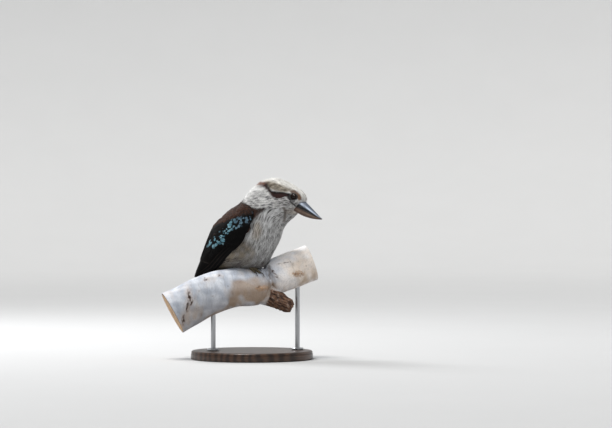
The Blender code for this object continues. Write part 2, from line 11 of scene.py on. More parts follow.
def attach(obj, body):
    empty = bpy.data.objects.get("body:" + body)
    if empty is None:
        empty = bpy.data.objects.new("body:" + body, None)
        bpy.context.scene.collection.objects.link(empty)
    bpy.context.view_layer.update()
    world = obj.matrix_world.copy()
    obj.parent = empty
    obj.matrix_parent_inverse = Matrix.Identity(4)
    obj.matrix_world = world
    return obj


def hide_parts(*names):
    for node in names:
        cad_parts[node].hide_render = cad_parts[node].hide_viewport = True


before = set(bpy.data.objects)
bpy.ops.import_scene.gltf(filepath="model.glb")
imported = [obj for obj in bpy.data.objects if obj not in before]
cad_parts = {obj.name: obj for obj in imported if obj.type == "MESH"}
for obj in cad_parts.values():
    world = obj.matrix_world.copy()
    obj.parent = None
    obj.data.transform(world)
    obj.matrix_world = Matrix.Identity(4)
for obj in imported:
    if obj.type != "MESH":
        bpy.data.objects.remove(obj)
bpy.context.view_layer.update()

# Laughing kookaburra on a short cut length of gum branch. Shapes are set out in millimetres from the point between the
# feet, on top of the branch, and lifted by FEET_Z; +X is the way the body faces, +Y its left.
MM = 0.001
FEET_Z = 195.0
HEAD_TURN, TURN_X = 10.0, 50.0
SEED = 7

# ------------------------------------------------------------------ measures shared with the solids
BODY = np.array((
    (128.5, 133.0, 102.0, 112.5, 13.5, 0.50, 2.0, 1.0),
    (126.0, 145.0, 96.5, 106.0, 19.5, 0.52, 2.3, 1.0),
    (115.5, 155.0, 90.0, 100.0, 25.0, 0.50, 2.5, 1.0),
    (96.0, 167.5, 82.5, 94.5, 30.0, 0.50, 2.5, 1.0),
    (73.5, 178.0, 75.0, 88.0, 33.0, 0.48, 2.4, 1.0),
    (49.0, 183.0, 68.5, 80.0, 35.0, 0.46, 2.2, 1.0),
    (25.0, 176.5, 63.5, 71.0, 36.5, 0.46, 2.15, 0.8),
    (8.0, 165.5, 60.5, 61.5, 39.0, 0.46, 2.1, 0.6),
    (-4.5, 153.0, 57.0, 52.0, 42.0, 0.46, 2.1, 0.4),
    (-15.5, 139.5, 52.5, 43.0, 45.0, 0.46, 2.1, 0.2),
    (-30.0, 126.5, 48.0, 34.0, 47.5, 0.46, 2.1, 0.0),
    (-47.5, 115.0, 41.5, 24.0, 48.5, 0.46, 2.1, 0.0),
    (-63.0, 100.5, 35.0, 12.0, 48.5, 0.47, 2.1, 0.0),
    (-74.5, 84.0, 26.0, 2.0, 47.5, 0.48, 2.1, 0.0),
    (-82.0, 67.5, 8.0, -3.5, 45.0, 0.50, 2.1, 0.0),
    (-88.5, 52.0, -14.5, -5.0, 40.5, 0.52, 2.1, 0.0),
    (-95.5, 37.5, -37.5, -7.0, 34.5, 0.55, 2.1, 0.0),
    (-101.5, 25.0, -60.0, -11.0, 27.0, 0.58, 2.1, 0.0),
    (-107.0, 12.5, -79.5, -15.5, 19.0, 0.60, 2.1, 0.0),
    (-111.0, 3.0, -95.0, -16.5, 10.0, 0.60, 2.1, 0.0),
))
LAST = len(BODY) - 1
WINGS = np.array((
    (5.0, 161.0, 88.0, 62.0, 42.0, 0.46, 2.1),
    (-17.5, 143.0, 78.0, 42.0, 50.0, 0.46, 2.1),
    (-34.0, 129.5, 70.0, 32.0, 54.0, 0.46, 2.1),
    (-52.0, 117.0, 60.0, 22.0, 55.5, 0.46, 2.1),
    (-68.5, 103.0, 50.0, 12.0, 55.5, 0.47, 2.1),
    (-81.0, 87.0, 38.0, 2.0, 54.0, 0.48, 2.1),
    (-89.5, 70.5, 18.0, -4.0, 51.0, 0.50, 2.1),
    (-96.5, 54.0, -8.0, -6.0, 47.5, 0.50, 2.1),
    (-103.0, 38.0, -32.0, -8.0, 43.0, 0.50, 2.1),
    (-110.0, 22.0, -54.0, -12.0, 38.0, 0.50, 2.1),
    (-117.0, 7.0, -74.0, -18.0, 33.0, 0.50, 2.1),
    (-124.0, -8.5, -94.0, -24.0, 28.0, 0.50, 2.1),
    (-130.0, -22.0, -112.0, -30.0, 22.0, 0.50, 2.1),
))
WING_FRONT = ((16.0, 128.0), (25.0, 118.0), (25.5, 103.0), (21.0, 87.0), (14.5, 72.0), (8.5, 57.0), (-3.5, 42.0),
              (-18.0, 29.0), (-34.0, 15.0), (-48.0, 3.0), (-66.0, -9.0), (-88.0, -18.5), (-108.0, -24.0), (-123.0, -28.0))
WING_BACK = ((-134.0, -22.0), (-129.0, -4.0), (-123.0, 12.0), (-116.0, 30.0), (-108.0, 48.0), (-98.0, 66.0),
             (-84.0, 81.0), (-66.0, 93.5), (-46.0, 106.0), (-24.0, 119.0), (-2.0, 129.0))
TAIL_ROOT, TAIL_TIP = np.array([-90.0, 0, 42.0]), np.array([-161.0, 0, -92.0])
TAIL_HALF = ((0.0, 12.0), (0.25, 15.5), (0.5, 20.5), (0.75, 26.5), (0.93, 27.0), (1.0, 21.0))
TAIL_ARCH = 5.0
CULMEN = ((128.0, 134.8), (136.8, 127.7), (146.4, 119.9), (156.4, 111.2), (165.0, 103.7), (172.0, 99.2))
TOMIUM = ((110.0, 127.5), (122.6, 122.2), (136.1, 116.1), (150.2, 109.2), (162.4, 103.2), (171.6, 98.9))
GONYS = ((102.5, 116.5), (115.0, 109.9), (128.5, 104.2), (144.0, 100.1), (158.0, 98.2), (169.5, 97.9))
BILL_HALF = (14.6, 12.4, 9.6, 6.8, 4.0, 1.0)
EYE_R, EYE_AT = 7.5, (111.3, 14.1, 145.2)
BRANCH_TURN = 34.0
LIMB = np.array((
    (-168.0, -98.0, 0.0, 46.5), (-143.0, -84.5, 0.0, 45.5), (-108.0, -66.0, 0.0, 44.3), (-71.0, -52.0, 0.0, 43.2),
    (-38.0, -45.2, 0.0, 42.2), (-12.0, -43.0, 0.0, 41.6), (8.0, -42.8, -0.5, 40.2), (20.0, -44.5, -1.5, 38.0),
    (28.0, -46.5, -2.5, 34.0), (33.0, -48.0, -3.0, 28.0), (36.5, -49.5, -3.5, 17.0)))
STUB = np.array((
    (6.0, -55.0, -3.0, 18.0), (22.0, -59.0, -5.0, 21.5), (38.0, -64.0, -8.0, 20.5), (54.0, -72.0, -12.0, 17.6),
    (66.0, -78.6, -15.0, 15.8), (75.5, -85.0, -17.5, 14.2), (81.0, -88.8, -18.7, 9.5)))
SHOOT = np.array((
    (35.0, -28.8, 5.4, 22.0), (39.5, -27.0, 5.7, 31.0), (45.0, -24.8, 6.0, 36.0), (53.0, -21.4, 6.3, 37.6),
    (66.0, -16.2, 6.5, 37.8), (88.0, -7.6, 7.0, 38.2), (128.0, 7.0, 7.0, 38.6)))
ROD_AT = ((-82.0, 0.0), (98.0, 7.0))
FOOT_X, FOOT_Y = {1: -24.0, -1: 1.0}, 17.5
TARSUS_TOP, TARSUS_LEAN, TARSUS_R = 24.0, -12.0, 3.3
TOES = ((24.0, 20.0, 3.1, 2.3, 8.0), (4.0, 26.0, 3.4, 2.5, 9.5), (-14.0, 17.0, 3.0, 2.2, 7.5), (178.0, 14.0, 3.2, 2.4, 9.0))
TOE_CLEAR = 0.8

# the camera's frame, which the markings are laid out in: seen from the bird's right, 24 degrees ahead of square on
VIEW_TURN, PER_PIXEL, CAMERA_AWAY = 24.0, 2.1, 5000.0
FEET_PX, CENTRE_PX = (252.0, 266.0), (306.0, 214.0)


# ------------------------------------------------------------------ numbers
def smooth(rows, t):
    """Rows read at fractional indices of any shape, along smooth curves."""
    rows = np.asarray(rows, float)
    t = np.clip(np.asarray(t, float), 0, len(rows) - 1)
    i = np.minimum(np.floor(t).astype(int), len(rows) - 2)
    f = (t - i)[..., None]
    padded = np.concatenate([[2 * rows[0] - rows[1]], rows, [2 * rows[-1] - rows[-2]]])
    p0, p1, p2, p3 = padded[i], padded[i + 1], padded[i + 2], padded[i + 3]
    return 0.5 * (2 * p1 + (p2 - p0) * f + (2 * p0 - 5 * p1 + 4 * p2 - p3) * f ** 2 + (3 * p1 - p0 - 3 * p2 + p3) * f ** 3)


def step(a, b, x):
    x = np.clip((np.asarray(x, float) - a) / (b - a), 0, 1)
    return x * x * (3 - 2 * x)


def mix(a, b, k):
    k = np.asarray(k, float)
    return np.asarray(a, float) * (1 - k[..., None]) + np.asarray(b, float) * k[..., None]


def hash01(*arrays):
    """A repeatable value from 0 to 1 for each set of numbers."""
    h = 0.0
    for k, a in enumerate(arrays):
        h = h + np.asarray(a, float) * (12.9898 + 65.113 * k)
    return np.modf(np.abs(np.sin(h) * 43758.5453))[0]


def waves(x, y, z=0.0, seed=0):
    """Soft patchy variation from -1 to 1, about one unit across."""
    r = np.random.default_rng(seed)
    total = 0
    for _ in range(7):
        d = r.normal(size=3)
        d *= (0.8 + r.random() * 1.4) / np.linalg.norm(d)
        total = total + np.sin(6.283 * (np.asarray(x) * d[0] + np.asarray(y) * d[1] + np.asarray(z) * d[2]) * 0.5 + r.random() * 6.283)
    return total / 3.2


def turned(p, share=1.0):
    a = -np.radians(HEAD_TURN * np.asarray(share, float))
    x, y = p[..., 0] - TURN_X, p[..., 1]
    return np.stack([TURN_X + x * np.cos(a) - y * np.sin(a), x * np.sin(a) + y * np.cos(a), p[..., 2]], -1)


# ------------------------------------------------------------------ surfaces
def section(rows, angle, depth=0.0):
    """Points on body sections given as back and belly points, half width and so on, at an angle round from the back."""
    back = np.stack([rows[..., 0], 0 * rows[..., 0], rows[..., 1]], -1)
    belly = np.stack([rows[..., 2], 0 * rows[..., 0], rows[..., 3]], -1)
    height = np.linalg.norm(back - belly, axis=-1)
    up = (back - belly) / height[..., None]
    belly = belly + up * np.asarray(depth)[..., None]
    height = height - 2 * depth
    c, s = np.cos(angle), np.sin(angle)
    c = np.sign(c) * np.abs(c) ** (2 / rows[..., 6])
    s = np.sign(s) * np.abs(s) ** (2 / rows[..., 6])
    tall = np.where(c > 0, height * (1 - rows[..., 5]), height * rows[..., 5]) * c
    mid = height * rows[..., 5] + tall
    side = (rows[..., 4] - depth) * s
    out = belly + up * mid[..., None]
    out[..., 1] = side
    return out


class Body:
    """u runs over BODY's rows from the face to the tail's root; v runs round from the back over the left side."""

    def at(self, u, v, depth=0.0):
        u, v = np.broadcast_arrays(np.asarray(u, float), np.asarray(v, float))
        rows = smooth(BODY, u)
        return turned(section(rows, 2 * np.pi * v, np.broadcast_to(np.asarray(depth, float), u.shape)), np.clip(rows[..., 7], 0, 1))

    limits = (0.0, float(LAST)), None


def share_inside(row, outline):
    a, b = np.array(row[:2]), np.array(row[2:4])
    found = []
    for p, q in zip(outline, outline[1:] + outline[:1]):
        d, e = b - a, np.subtract(q, p)
        cross = d[0] * e[1] - d[1] * e[0]
        if abs(cross) > 1e-9:
            w = np.subtract(p, a)
            t, u = (w[0] * e[1] - w[1] * e[0]) / cross, (w[0] * d[1] - w[1] * d[0]) / cross
            if 0 <= u < 1:
                found.append(t)
    return (min(found), max(found)) if len(found) > 1 else None


def at_share(row, share):
    bx, bz, vx, vz, half, widest, square = row[:7]
    back, belly = np.array([bx, 0, bz]), np.array([vx, 0, vz])
    height = np.linalg.norm(back - belly)
    up = (back - belly) / height
    rise = 1 - np.clip(share, 0, 1) - widest
    c = np.where(rise > 0, rise / (1 - widest), rise / widest)
    side = (1 - np.minimum(1.0, np.abs(c)) ** square) ** (1 / square)
    tall = np.where(c > 0, height * (1 - widest), height * widest)
    out = belly + up * (height * widest + tall * c)[:, None]
    out[:, 1] = half * side
    return out


class Wing:
    """r runs from the bend to the tip, c from the upper edge to the lower one, both 0 to 1. sign is 1 on the left."""

    limits = (0.0, 1.0), (0.0, 1.0)

    def __init__(self, sign, rows=64, columns=40):
        outline = [tuple(p) for p in WING_FRONT] + [tuple(p) for p in WING_BACK]
        spans = []
        for t in np.linspace(0, len(WINGS) - 1, 240):
            span = share_inside(smooth(WINGS, t), outline)
            if span and span[1] - max(span[0], 0.0) > 0.08:
                spans.append((t, max(span[0], 0.0), min(span[1], 1.0)))
        spans = np.array(spans)
        grid = []
        for t in np.linspace(spans[0, 0], spans[-1, 0], rows):
            low, high = np.interp(t, spans[:, 0], spans[:, 1]), np.interp(t, spans[:, 0], spans[:, 2])
            line = at_share(smooth(WINGS, t), np.linspace(low, high, 160))
            line[:, 1] = np.maximum(line[:, 1], 1.6)
            run = np.concatenate([[0], np.cumsum(np.linalg.norm(np.diff(line, axis=0), axis=1))])
            grid.append([[np.interp(v * run[-1], run, line[:, k]) for k in range(3)] for v in np.linspace(0, 1, columns)])
        self.grid = np.array(grid)
        self.grid[..., 1] *= sign
        self.sign = sign

    def at(self, u, v, depth=0.0):
        u, v = np.broadcast_arrays(np.asarray(u, float), np.asarray(v, float))
        n, m = self.grid.shape[:2]
        x, y = u * (n - 1), v * (m - 1)
        i, j = np.clip(np.floor(x), 0, n - 2).astype(int), np.clip(np.floor(y), 0, m - 2).astype(int)
        fx, fy = (x - i)[..., None], (y - j)[..., None]
        g = self.grid
        return (g[i, j] * (1 - fx) + g[i + 1, j] * fx) * (1 - fy) + (g[i, j + 1] * (1 - fx) + g[i + 1, j + 1] * fx) * fy


class Tail:
    """r runs from root to tip, c across from the right edge to the left, over the upper face."""

    limits = (0.0, 1.0), (0.0, 1.0)

    def at(self, u, v, depth=0.0):
        u, v = np.broadcast_arrays(np.asarray(u, float), np.asarray(v, float))
        along = TAIL_TIP - TAIL_ROOT
        length = np.linalg.norm(along)
        along = along / length
        out = np.cross([0, 1.0, 0], along)
        out = out if out[0] < 0 else -out
        half = np.interp(u, [h[0] for h in TAIL_HALF], [h[1] for h in TAIL_HALF])
        y = np.clip(v, -0.1, 1.1) * 2 - 1
        return TAIL_ROOT + along * (length * u)[..., None] + np.array([0, 1.0, 0]) * (y * half)[..., None] \
            + out * (1.2 - TAIL_ARCH * y * y)[..., None]


def frames(surface, u, v, inside):
    """Point, unit normal and the two slopes in mm for each unit of u and v. inside is a point the normals face away from."""
    e = 1e-3
    (u0, u1), _ = surface.limits
    ua, ub = np.maximum(u - e, u0), np.minimum(u + e, u1)
    p = surface.at(u, v)
    su = (surface.at(ub, v) - surface.at(ua, v)) / (ub - ua)[..., None]
    sv = (surface.at(u, v + e) - surface.at(u, v - e)) / (2 * e)
    n = np.cross(su, sv)
    n /= np.linalg.norm(n, axis=-1)[..., None] + 1e-9
    flip = np.sum(n * (p - inside(p)), -1) < 0
    n[flip] *= -1
    return p, n, su, sv


def body_core(p):
    """The middle of the body beside a point: what outward is measured from."""
    x = p[..., 0]
    z = np.interp(x, [-110, -80, -40, 0, 30, 60, 100, 130], [-8, 25, 60, 95, 118, 130, 128, 122])
    return np.stack([np.clip(x, -100, 112), 0 * x, z], -1)


# ------------------------------------------------------------------ meshes from arrays
def new_object(name, verts, quads, tris=None, smooth_shade=True):
    """A mesh object from arrays in millimetres about the feet."""
    verts = np.asarray(verts, float) * MM
    verts = verts + np.array([0, 0, FEET_Z * MM])
    quads = np.asarray(quads, np.int64).reshape(-1, 4)
    tris = np.zeros((0, 3), np.int64) if tris is None else np.asarray(tris, np.int64).reshape(-1, 3)
    mesh = bpy.data.meshes.new(name)
    mesh.vertices.add(len(verts))
    mesh.vertices.foreach_set("co", verts.astype(np.float32).ravel())
    loops = np.concatenate([quads.ravel(), tris.ravel()])
    starts = np.concatenate([np.arange(len(quads)) * 4, len(quads) * 4 + np.arange(len(tris)) * 3])
    mesh.loops.add(len(loops))
    mesh.loops.foreach_set("vertex_index", loops.astype(np.int32))
    mesh.polygons.add(len(starts))
    mesh.polygons.foreach_set("loop_start", starts.astype(np.int32))
    mesh.update(calc_edges=True)
    mesh.validate()
    if smooth_shade:
        mesh.shade_smooth()
    obj = bpy.data.objects.new(name, mesh)
    bpy.context.scene.collection.objects.link(obj)
    return obj


def set_color(obj, colors, name="Col"):
    attribute = obj.data.color_attributes.new(name, "FLOAT_COLOR", "POINT")
    data = np.ones((len(obj.data.vertices), 4), np.float32)
    data[:, :3] = np.clip(colors, 0, 1)
    attribute.data.foreach_set("color", data.ravel())


def set_uv(obj, uv_of_vertex):
    layer = obj.data.uv_layers.new(name="OFBake")
    index = np.empty(len(obj.data.loops), np.int32)
    obj.data.loops.foreach_get("vertex_index", index)
    layer.data.foreach_set("uv", np.asarray(uv_of_vertex, np.float32)[index].ravel())


PATCH = 0.003


class Coat:
    """Gathers feathers and makes one joined mesh of them."""

    def __init__(self, span=None):
        self.v, self.q, self.t, self.c, self.uv, self.n = [], [], [], [], [], 0
        self.span = span                              # the part of the surface, along u, that the piece covers

    def add(self, grid, colors, root_uv, pointed=True):
        """grid: feathers x rows x columns x 3. The last row is drawn together into a point."""
        m, rows, cols = grid.shape[:3]
        k = rows - 1 if pointed else rows
        body = grid[:, :k].reshape(m, -1, 3)
        col = colors[:, :k].reshape(m, -1, 3)
        r, c = np.meshgrid(np.linspace(-0.5, 0.5, rows), np.linspace(-0.5, 0.5, cols), indexing="ij")
        local = np.stack([c, r], -1) * PATCH
        uv = root_uv[:, None] + local[:k].reshape(-1, 2)[None]
        per = k * cols
        i, j = np.meshgrid(np.arange(k - 1), np.arange(cols - 1), indexing="ij")
        a = (i * cols + j).ravel()
        quads = np.stack([a, a + 1, a + cols + 1, a + cols], -1)
        tris = np.zeros((0, 3), int)
        if pointed:
            tip = grid[:, -1].mean(1)[:, None]
            body = np.concatenate([body, tip], 1)
            col = np.concatenate([col, colors[:, -1:].mean(2)], 1)
            uv = np.concatenate([uv, (root_uv + [0, PATCH / 2])[:, None]], 1)
            last = (k - 1) * cols + np.arange(cols - 1)
            tris = np.stack([last, last + 1, np.full(cols - 1, per)], -1)
            per += 1
        offset = self.n + np.arange(m)[:, None, None] * per
        self.v.append(body.reshape(-1, 3))
        self.c.append(col.reshape(-1, 3))
        self.uv.append(uv.reshape(-1, 2))
        self.q.append((quads[None] + offset).reshape(-1, 4))
        self.t.append((tris[None] + offset).reshape(-1, 3))
        self.n += m * per

    def make(self, name, material):
        obj = new_object(name, np.concatenate(self.v), np.concatenate(self.q), np.concatenate(self.t))
        set_color(obj, np.concatenate(self.c))
        set_uv(obj, np.concatenate(self.uv))
        obj.data.materials.append(material)
        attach(obj, "root")
        return obj


# ------------------------------------------------------------------ laying feathers on a surface
def lay(surface, u, v, angle, length, width, heights, rows, cols, profile, camber=0.12, inside=body_core, bend=None, rng=None, ragged=0.0):
    """Feathers rooted at (u, v) on a surface, each following it. heights is the (root, middle, tip) lift off the surface.

    Gives an array feathers x rows x cols x 3. profile(t) is the half width at a share of the length, over the whole one.
    """
    u, v = np.asarray(u, float), np.asarray(v, float)
    m = len(u)
    _, _, su, sv = frames(surface, u, v, inside)
    lu, lv = np.linalg.norm(su, axis=-1), np.linalg.norm(sv, axis=-1)
    ca, sa = np.cos(angle), np.sin(angle)
    t = np.linspace(0, 1, rows)[None, :, None]
    s = np.linspace(-1, 1, cols)[None, None, :]
    L, W = np.broadcast_to(length, (m,))[:, None, None], np.broadcast_to(width, (m,))[:, None, None]
    along = t * L
    across = s * W * profile(t) * 0.5
    if bend is not None:
        across = across + np.broadcast_to(bend, (m,))[:, None, None] * L * t * t
    if ragged and rng is not None:
        along = along + (rng.random((m, rows, cols)) - 0.5) * ragged * L * np.where(t > 0.5, 1.0, 0.0) * (1 - np.abs(s) * 0.0)
    du = (along * ca[:, None, None] - across * sa[:, None, None]) / lu[:, None, None]
    dv = (along * sa[:, None, None] + across * ca[:, None, None]) / lv[:, None, None]
    uu, vv = u[:, None, None] + du, v[:, None, None] + dv
    (u0, u1), vlim = surface.limits
    over = np.clip(uu - u1, 0, None)
    uu = np.clip(uu, u0, u1)
    if vlim:
        vv = np.clip(vv, vlim[0] - 0.02, vlim[1] + 0.02)
    p, n, su2, _ = frames(surface, uu.reshape(m, -1), vv.reshape(m, -1), inside)
    p, n, su2 = (a.reshape(m, rows, cols, 3) for a in (p, n, su2))
    p = p + su2 * over[..., None]
    h = np.asarray(heights, float)
    h = h[None] if h.ndim == 1 else h
    h0, h1, h2 = (h[:, k][:, None, None] for k in range(3))
    lift = h0 * (1 - t) * (1 - 2 * t) + h1 * 4 * t * (1 - t) + h2 * t * (2 * t - 1)
    lift = lift + camber * W * profile(t) * (1 - s * s)
    return p + n * lift[..., None]


def leaf(t):
    """A contour feather's outline: full past the middle, round at the end."""
    return np.clip(0.45 + 1.5 * t, 0, 1) * np.sqrt(np.clip(1 - (np.clip(t - 0.45, 0, None) / 0.56) ** 2.2, 0, 1))


def lance(t):
    return np.clip(0.55 + 1.2 * t, 0, 1) * (1 - t ** 2.5) ** 0.9


def quill(t):
    """A flight feather's outline: parallel, rounded at the tip."""
    return np.clip(0.6 + 3 * t, 0, 1) * np.sqrt(np.clip(1 - (np.clip(t - 0.88, 0, None) / 0.125) ** 2, 0, 1))


def scatter(surface, u_range, v_range, spacing, rng, keep=None, inside=body_core, cells=(160, 200)):
    """Roots spread evenly over part of a surface: spacing(u, v, p) is the distance between them in mm."""
    us = np.linspace(*u_range, cells[0] + 1)
    vs = np.linspace(*v_range, cells[1] + 1)
    uc, vc = np.meshgrid((us[1:] + us[:-1]) / 2, (vs[1:] + vs[:-1]) / 2, indexing="ij")
    flip = np.arange(cells[0]) % 2 == 1
    vc[flip] = vc[flip][:, ::-1]
    uc, vc = uc.ravel(), vc.ravel()
    p, _, su, sv = frames(surface, uc, vc, inside)
    area = np.linalg.norm(np.cross(su, sv), axis=-1) * (us[1] - us[0]) * (vs[1] - vs[0])
    wanted = area / spacing(uc, vc, p) ** 2
    if keep is not None:
        wanted = wanted * keep(uc, vc, p)
    run = np.cumsum(wanted) + rng.random()
    count = np.diff(np.floor(np.concatenate([[0], run]))).astype(int)
    index = np.repeat(np.arange(len(uc)), count)
    u = uc[index] + (rng.random(len(index)) - 0.5) * (us[1] - us[0])
    v = vc[index] + (rng.random(len(index)) - 0.5) * (vs[1] - vs[0])
    return u, v


def blade(t):
    return np.clip(1 - t ** 1.6, 0, 1) * np.clip(0.7 + 1.5 * t, 0, 1)


def strands(coat, surface, u, v, angle, length, width, heights, tone, rng, count=5, rows=4, spread=0.22, inside=body_core, root=0.42, tip=0.12):
    """Loose feathers: each is a few thin blades that part towards their tips, painted as the place each part lies over."""
    m = len(u)
    u, v = np.asarray(u, float), np.asarray(v, float)
    share = np.tile(np.linspace(-1, 1, count), m)
    index = np.repeat(np.arange(m), count)
    L = np.broadcast_to(length, (m,))[index] * (1 - 0.22 * share ** 2) * (0.80 + 0.36 * rng.random(m * count))
    W = np.broadcast_to(width, (m,))[index]
    _, _, su, sv = frames(surface, u, v, inside)
    lu, lv = np.linalg.norm(su, axis=-1)[index], np.linalg.norm(sv, axis=-1)[index]
    a = np.broadcast_to(angle, (m,))[index]
    shift = share * W * 0.30
    (u0, u1), _ = surface.limits
    uu = np.clip(u[index] - shift * np.sin(a) / lu, u0, u1)
    vv = v[index] + shift * np.cos(a) / lv
    h = np.asarray(heights, float)
    h = np.broadcast_to(h[None] if h.ndim == 1 else h, (m, 3))[index].copy()
    h[:, 2] += rng.normal(0, 0.35, m * count)
    h[:, 1] += rng.normal(0, 0.15, m * count)
    lean = a + share * spread + rng.normal(0, 0.06, m * count)
    grid = lay(surface, uu, vv, lean, L, W / count * 1.55, h, rows, 2, blade, camber=0.0, inside=inside,
               bend=rng.normal(0, 0.05, m * count))
    t = np.linspace(0, 1, rows)
    base, streak, power, _ = body_marks_and_shade(*reached(uu, vv, lean, L, np.clip(t, 0.25, 1)))
    col = mix(base, streak, np.clip(power * (0.8 + 0.4 * rng.random(m * count))[:, None], 0, 1))
    # darker towards each blade's root: painted shade where the blades overlap; the tone varies at random, and each
    # blade is a little lighter towards its tip
    shade = (1 - root * (1 - step(0.0, 0.6, t)))[None] * (tone[index] * (0.90 + 0.20 * rng.random(m * count)))[:, None] * (1 + tip * t)
    col = (col * shade[..., None])[:, :, None]
    coat.add(grid, np.broadcast_to(col, grid.shape).copy(), roots_uv(coat, surface, u[index], v[index]))


def roots_uv(coat, surface, u, v):
    """Where roots lie on an unwrap of the surface itself, 0 to 1 each way over the part that the piece covers."""
    low, high = coat.span or surface.limits[0]
    return np.stack([0.03 + 0.94 * np.mod(v, 1.0) if surface.limits[1] is None else 0.03 + 0.94 * np.clip(v, 0, 1),
                     0.03 + 0.94 * np.clip((np.asarray(u) - low) / (high - low), 0, 1)], -1)


def vanes(coat, surface, u, v, angle, length, width, heights, colour, rng, rows=5, cols=5, profile=leaf, camber=0.10, inside=body_core):
    """Whole feathers, each a cambered vane. colour(t, s) gives feathers x rows x cols x 3."""
    grid = lay(surface, u, v, angle, length, width, heights, rows, cols, profile, camber, inside, bend=rng.normal(0, 0.03, len(u)))
    t = np.linspace(0, 1, rows)[None, :, None]
    s = np.linspace(-1, 1, cols)[None, None, :]
    col = np.broadcast_to(colour(t, s), grid.shape).copy()
    coat.add(grid, col, roots_uv(coat, surface, u, v))


# ------------------------------------------------------------------ colours
def rgb(r, g, b):
    return (np.array([r, g, b], float) / 255) ** 2.2


WHITE, CREAM, GREY_WHITE = rgb(236, 235, 233), rgb(232, 225, 210), rgb(208, 207, 206)
BARRING, CROWN_STREAK, CROWN_BUFF, CHEEK_STREAK = rgb(62, 61, 66), rgb(60, 50, 41), rgb(122, 111, 94), rgb(84, 80, 78)
STRIPE, MAROON, RUFOUS, TAN = rgb(20, 15, 13), rgb(62, 40, 36), rgb(120, 80, 62), rgb(126, 88, 56)
BREAST, BREAST_STREAK, FLANK, BUFF = rgb(219, 219, 219), rgb(68, 63, 60), rgb(150, 130, 98), rgb(172, 150, 114)
MANTLE, MANTLE_EDGE = rgb(42, 30, 26), rgb(98, 69, 55)
WING, WING_EDGE, BLUE, BLUE_PALE = rgb(7, 6, 6), rgb(27, 23, 22), rgb(86, 137, 156), rgb(148, 186, 198)
RUMP, TAIL_RUFOUS, TAIL_BAR, TAIL_WHITE = rgb(92, 132, 154), rgb(100, 68, 50), rgb(30, 25, 23), rgb(220, 215, 206)


def luminous(col, k):
    return col * np.asarray(k)[..., None]


# ------------------------------------------------------------------ where the markings and the painted shade lie
TURN = math.radians(VIEW_TURN)
RIGHT, AWAY = np.array([math.cos(TURN), math.sin(TURN), 0]), np.array([-math.sin(TURN), math.cos(TURN), 0])
AIM = RIGHT * (CENTRE_PX[0] - FEET_PX[0]) * PER_PIXEL + np.array([0, 0, (FEET_PX[1] - CENTRE_PX[1]) * PER_PIXEL])


def side_view(p):
    """A point of the right side as it lies in the side view, in that view's own units."""
    q = p - AIM
    depth = CAMERA_AWAY + q @ AWAY
    return CENTRE_PX[0] + (q @ RIGHT) / depth * CAMERA_AWAY / PER_PIXEL, CENTRE_PX[1] - q[..., 2] / depth * CAMERA_AWAY / PER_PIXEL


def to_edges(x, y, line, closed=True):
    """Distance to a polygon's or a line's edges, negative inside a closed one."""
    x, y = np.asarray(x, float), np.asarray(y, float)
    best, inside = np.full(x.shape, 1e9), np.zeros(x.shape, bool)
    pairs = list(zip(line, line[1:])) + ([(line[-1], line[0])] if closed else [])
    for (ax, ay), (bx, by) in pairs:
        dx, dy = bx - ax, by - ay
        f = np.clip(((x - ax) * dx + (y - ay) * dy) / (dx * dx + dy * dy + 1e-12), 0, 1)
        best = np.minimum(best, np.hypot(x - ax - f * dx, y - ay - f * dy))
        if ay != by:
            inside ^= ((ay > y) != (by > y)) & (x < dx * (y - ay) / dy + ax)
    return np.where(inside & closed, -best, best)


def area(x, y, polygon, soft=1.0):
    """1 inside a polygon, 0 outside, fading over the softness."""
    return 1 - step(-soft, soft, to_edges(x, y, polygon))


BAND = ((248.0, 189.0), (253.0, 185.6), (259.0, 183.6), (264.6, 183.0), (267.0, 184.0), (269.0, 188.0), (271.6, 191.0), (276.0, 192.2), (281.0, 192.2),
        (286.6, 193.4), (289.5, 194.0), (289.0, 196.6), (286.0, 196.4), (281.6, 198.2), (277.6, 199.0), (273.4, 197.4), (270.2, 194.4),
        (267.6, 190.6), (264.6, 187.4), (260.0, 187.0), (254.0, 188.6), (250.0, 191.0))
BAND_DARK = ((264.8, 182.6), (267.4, 183.6), (269.8, 187.4), (272.0, 190.6), (276.0, 191.7), (281.0, 191.8), (287.0, 192.8), (290.0, 193.4),
             (289.4, 195.4), (285.0, 194.6), (280.0, 193.9), (275.0, 194.2), (271.2, 193.0), (268.0, 189.4), (265.6, 186.2))
BEFORE_EYE = ((290.0, 191.2), (292.6, 190.6), (295.8, 191.4), (298.8, 193.8), (301.2, 197.4), (301.2, 200.0), (299.0, 200.8), (297.4, 199.0),
              (296.6, 195.6), (294.0, 193.6), (290.6, 193.4))
CROWN_STREAKED = ((266.5, 183.0), (270.0, 181.4), (276.0, 183.4), (284.0, 187.0), (292.0, 190.2), (288.0, 192.6), (281.0, 191.6), (274.0, 191.0), (269.6, 188.0))
NAPE_RUFOUS = ((246.0, 191.0), (250.0, 186.0), (256.0, 183.2), (263.0, 182.4), (267.5, 182.4), (267.8, 185.0), (262.0, 185.4), (255.0, 186.4), (251.0, 189.4))
COLLAR_SHADOW = ((243.0, 203.0), (247.6, 205.8), (250.6, 208.2), (257.0, 209.4), (264.6, 208.7))
SHOULDER = ((250.5, 208.6), (258.0, 209.4), (265.0, 208.6), (263.6, 211.4), (260.2, 213.6), (257.6, 216.6), (255.0, 219.0), (251.0, 214.0))
BACK_PART = ((243.0, 203.0), (247.6, 206.0), (250.6, 208.4), (257.0, 209.8), (259.0, 211.0), (256.0, 214.0), (250.5, 221.0), (245.0, 236.0),
             (238.5, 243.0), (232.0, 249.5), (225.0, 257.0), (215.0, 265.0), (196.0, 280.0), (150.0, 310.0), (150.0, 170.0), (236.0, 196.0))
THROAT_CREASE_SHADE = ((283.6, 208.0), (285.0, 211.5), (285.2, 216.5), (284.0, 221.0))
GAPE = ((290.6, 201.6), (293.4, 204.0), (296.4, 206.8))


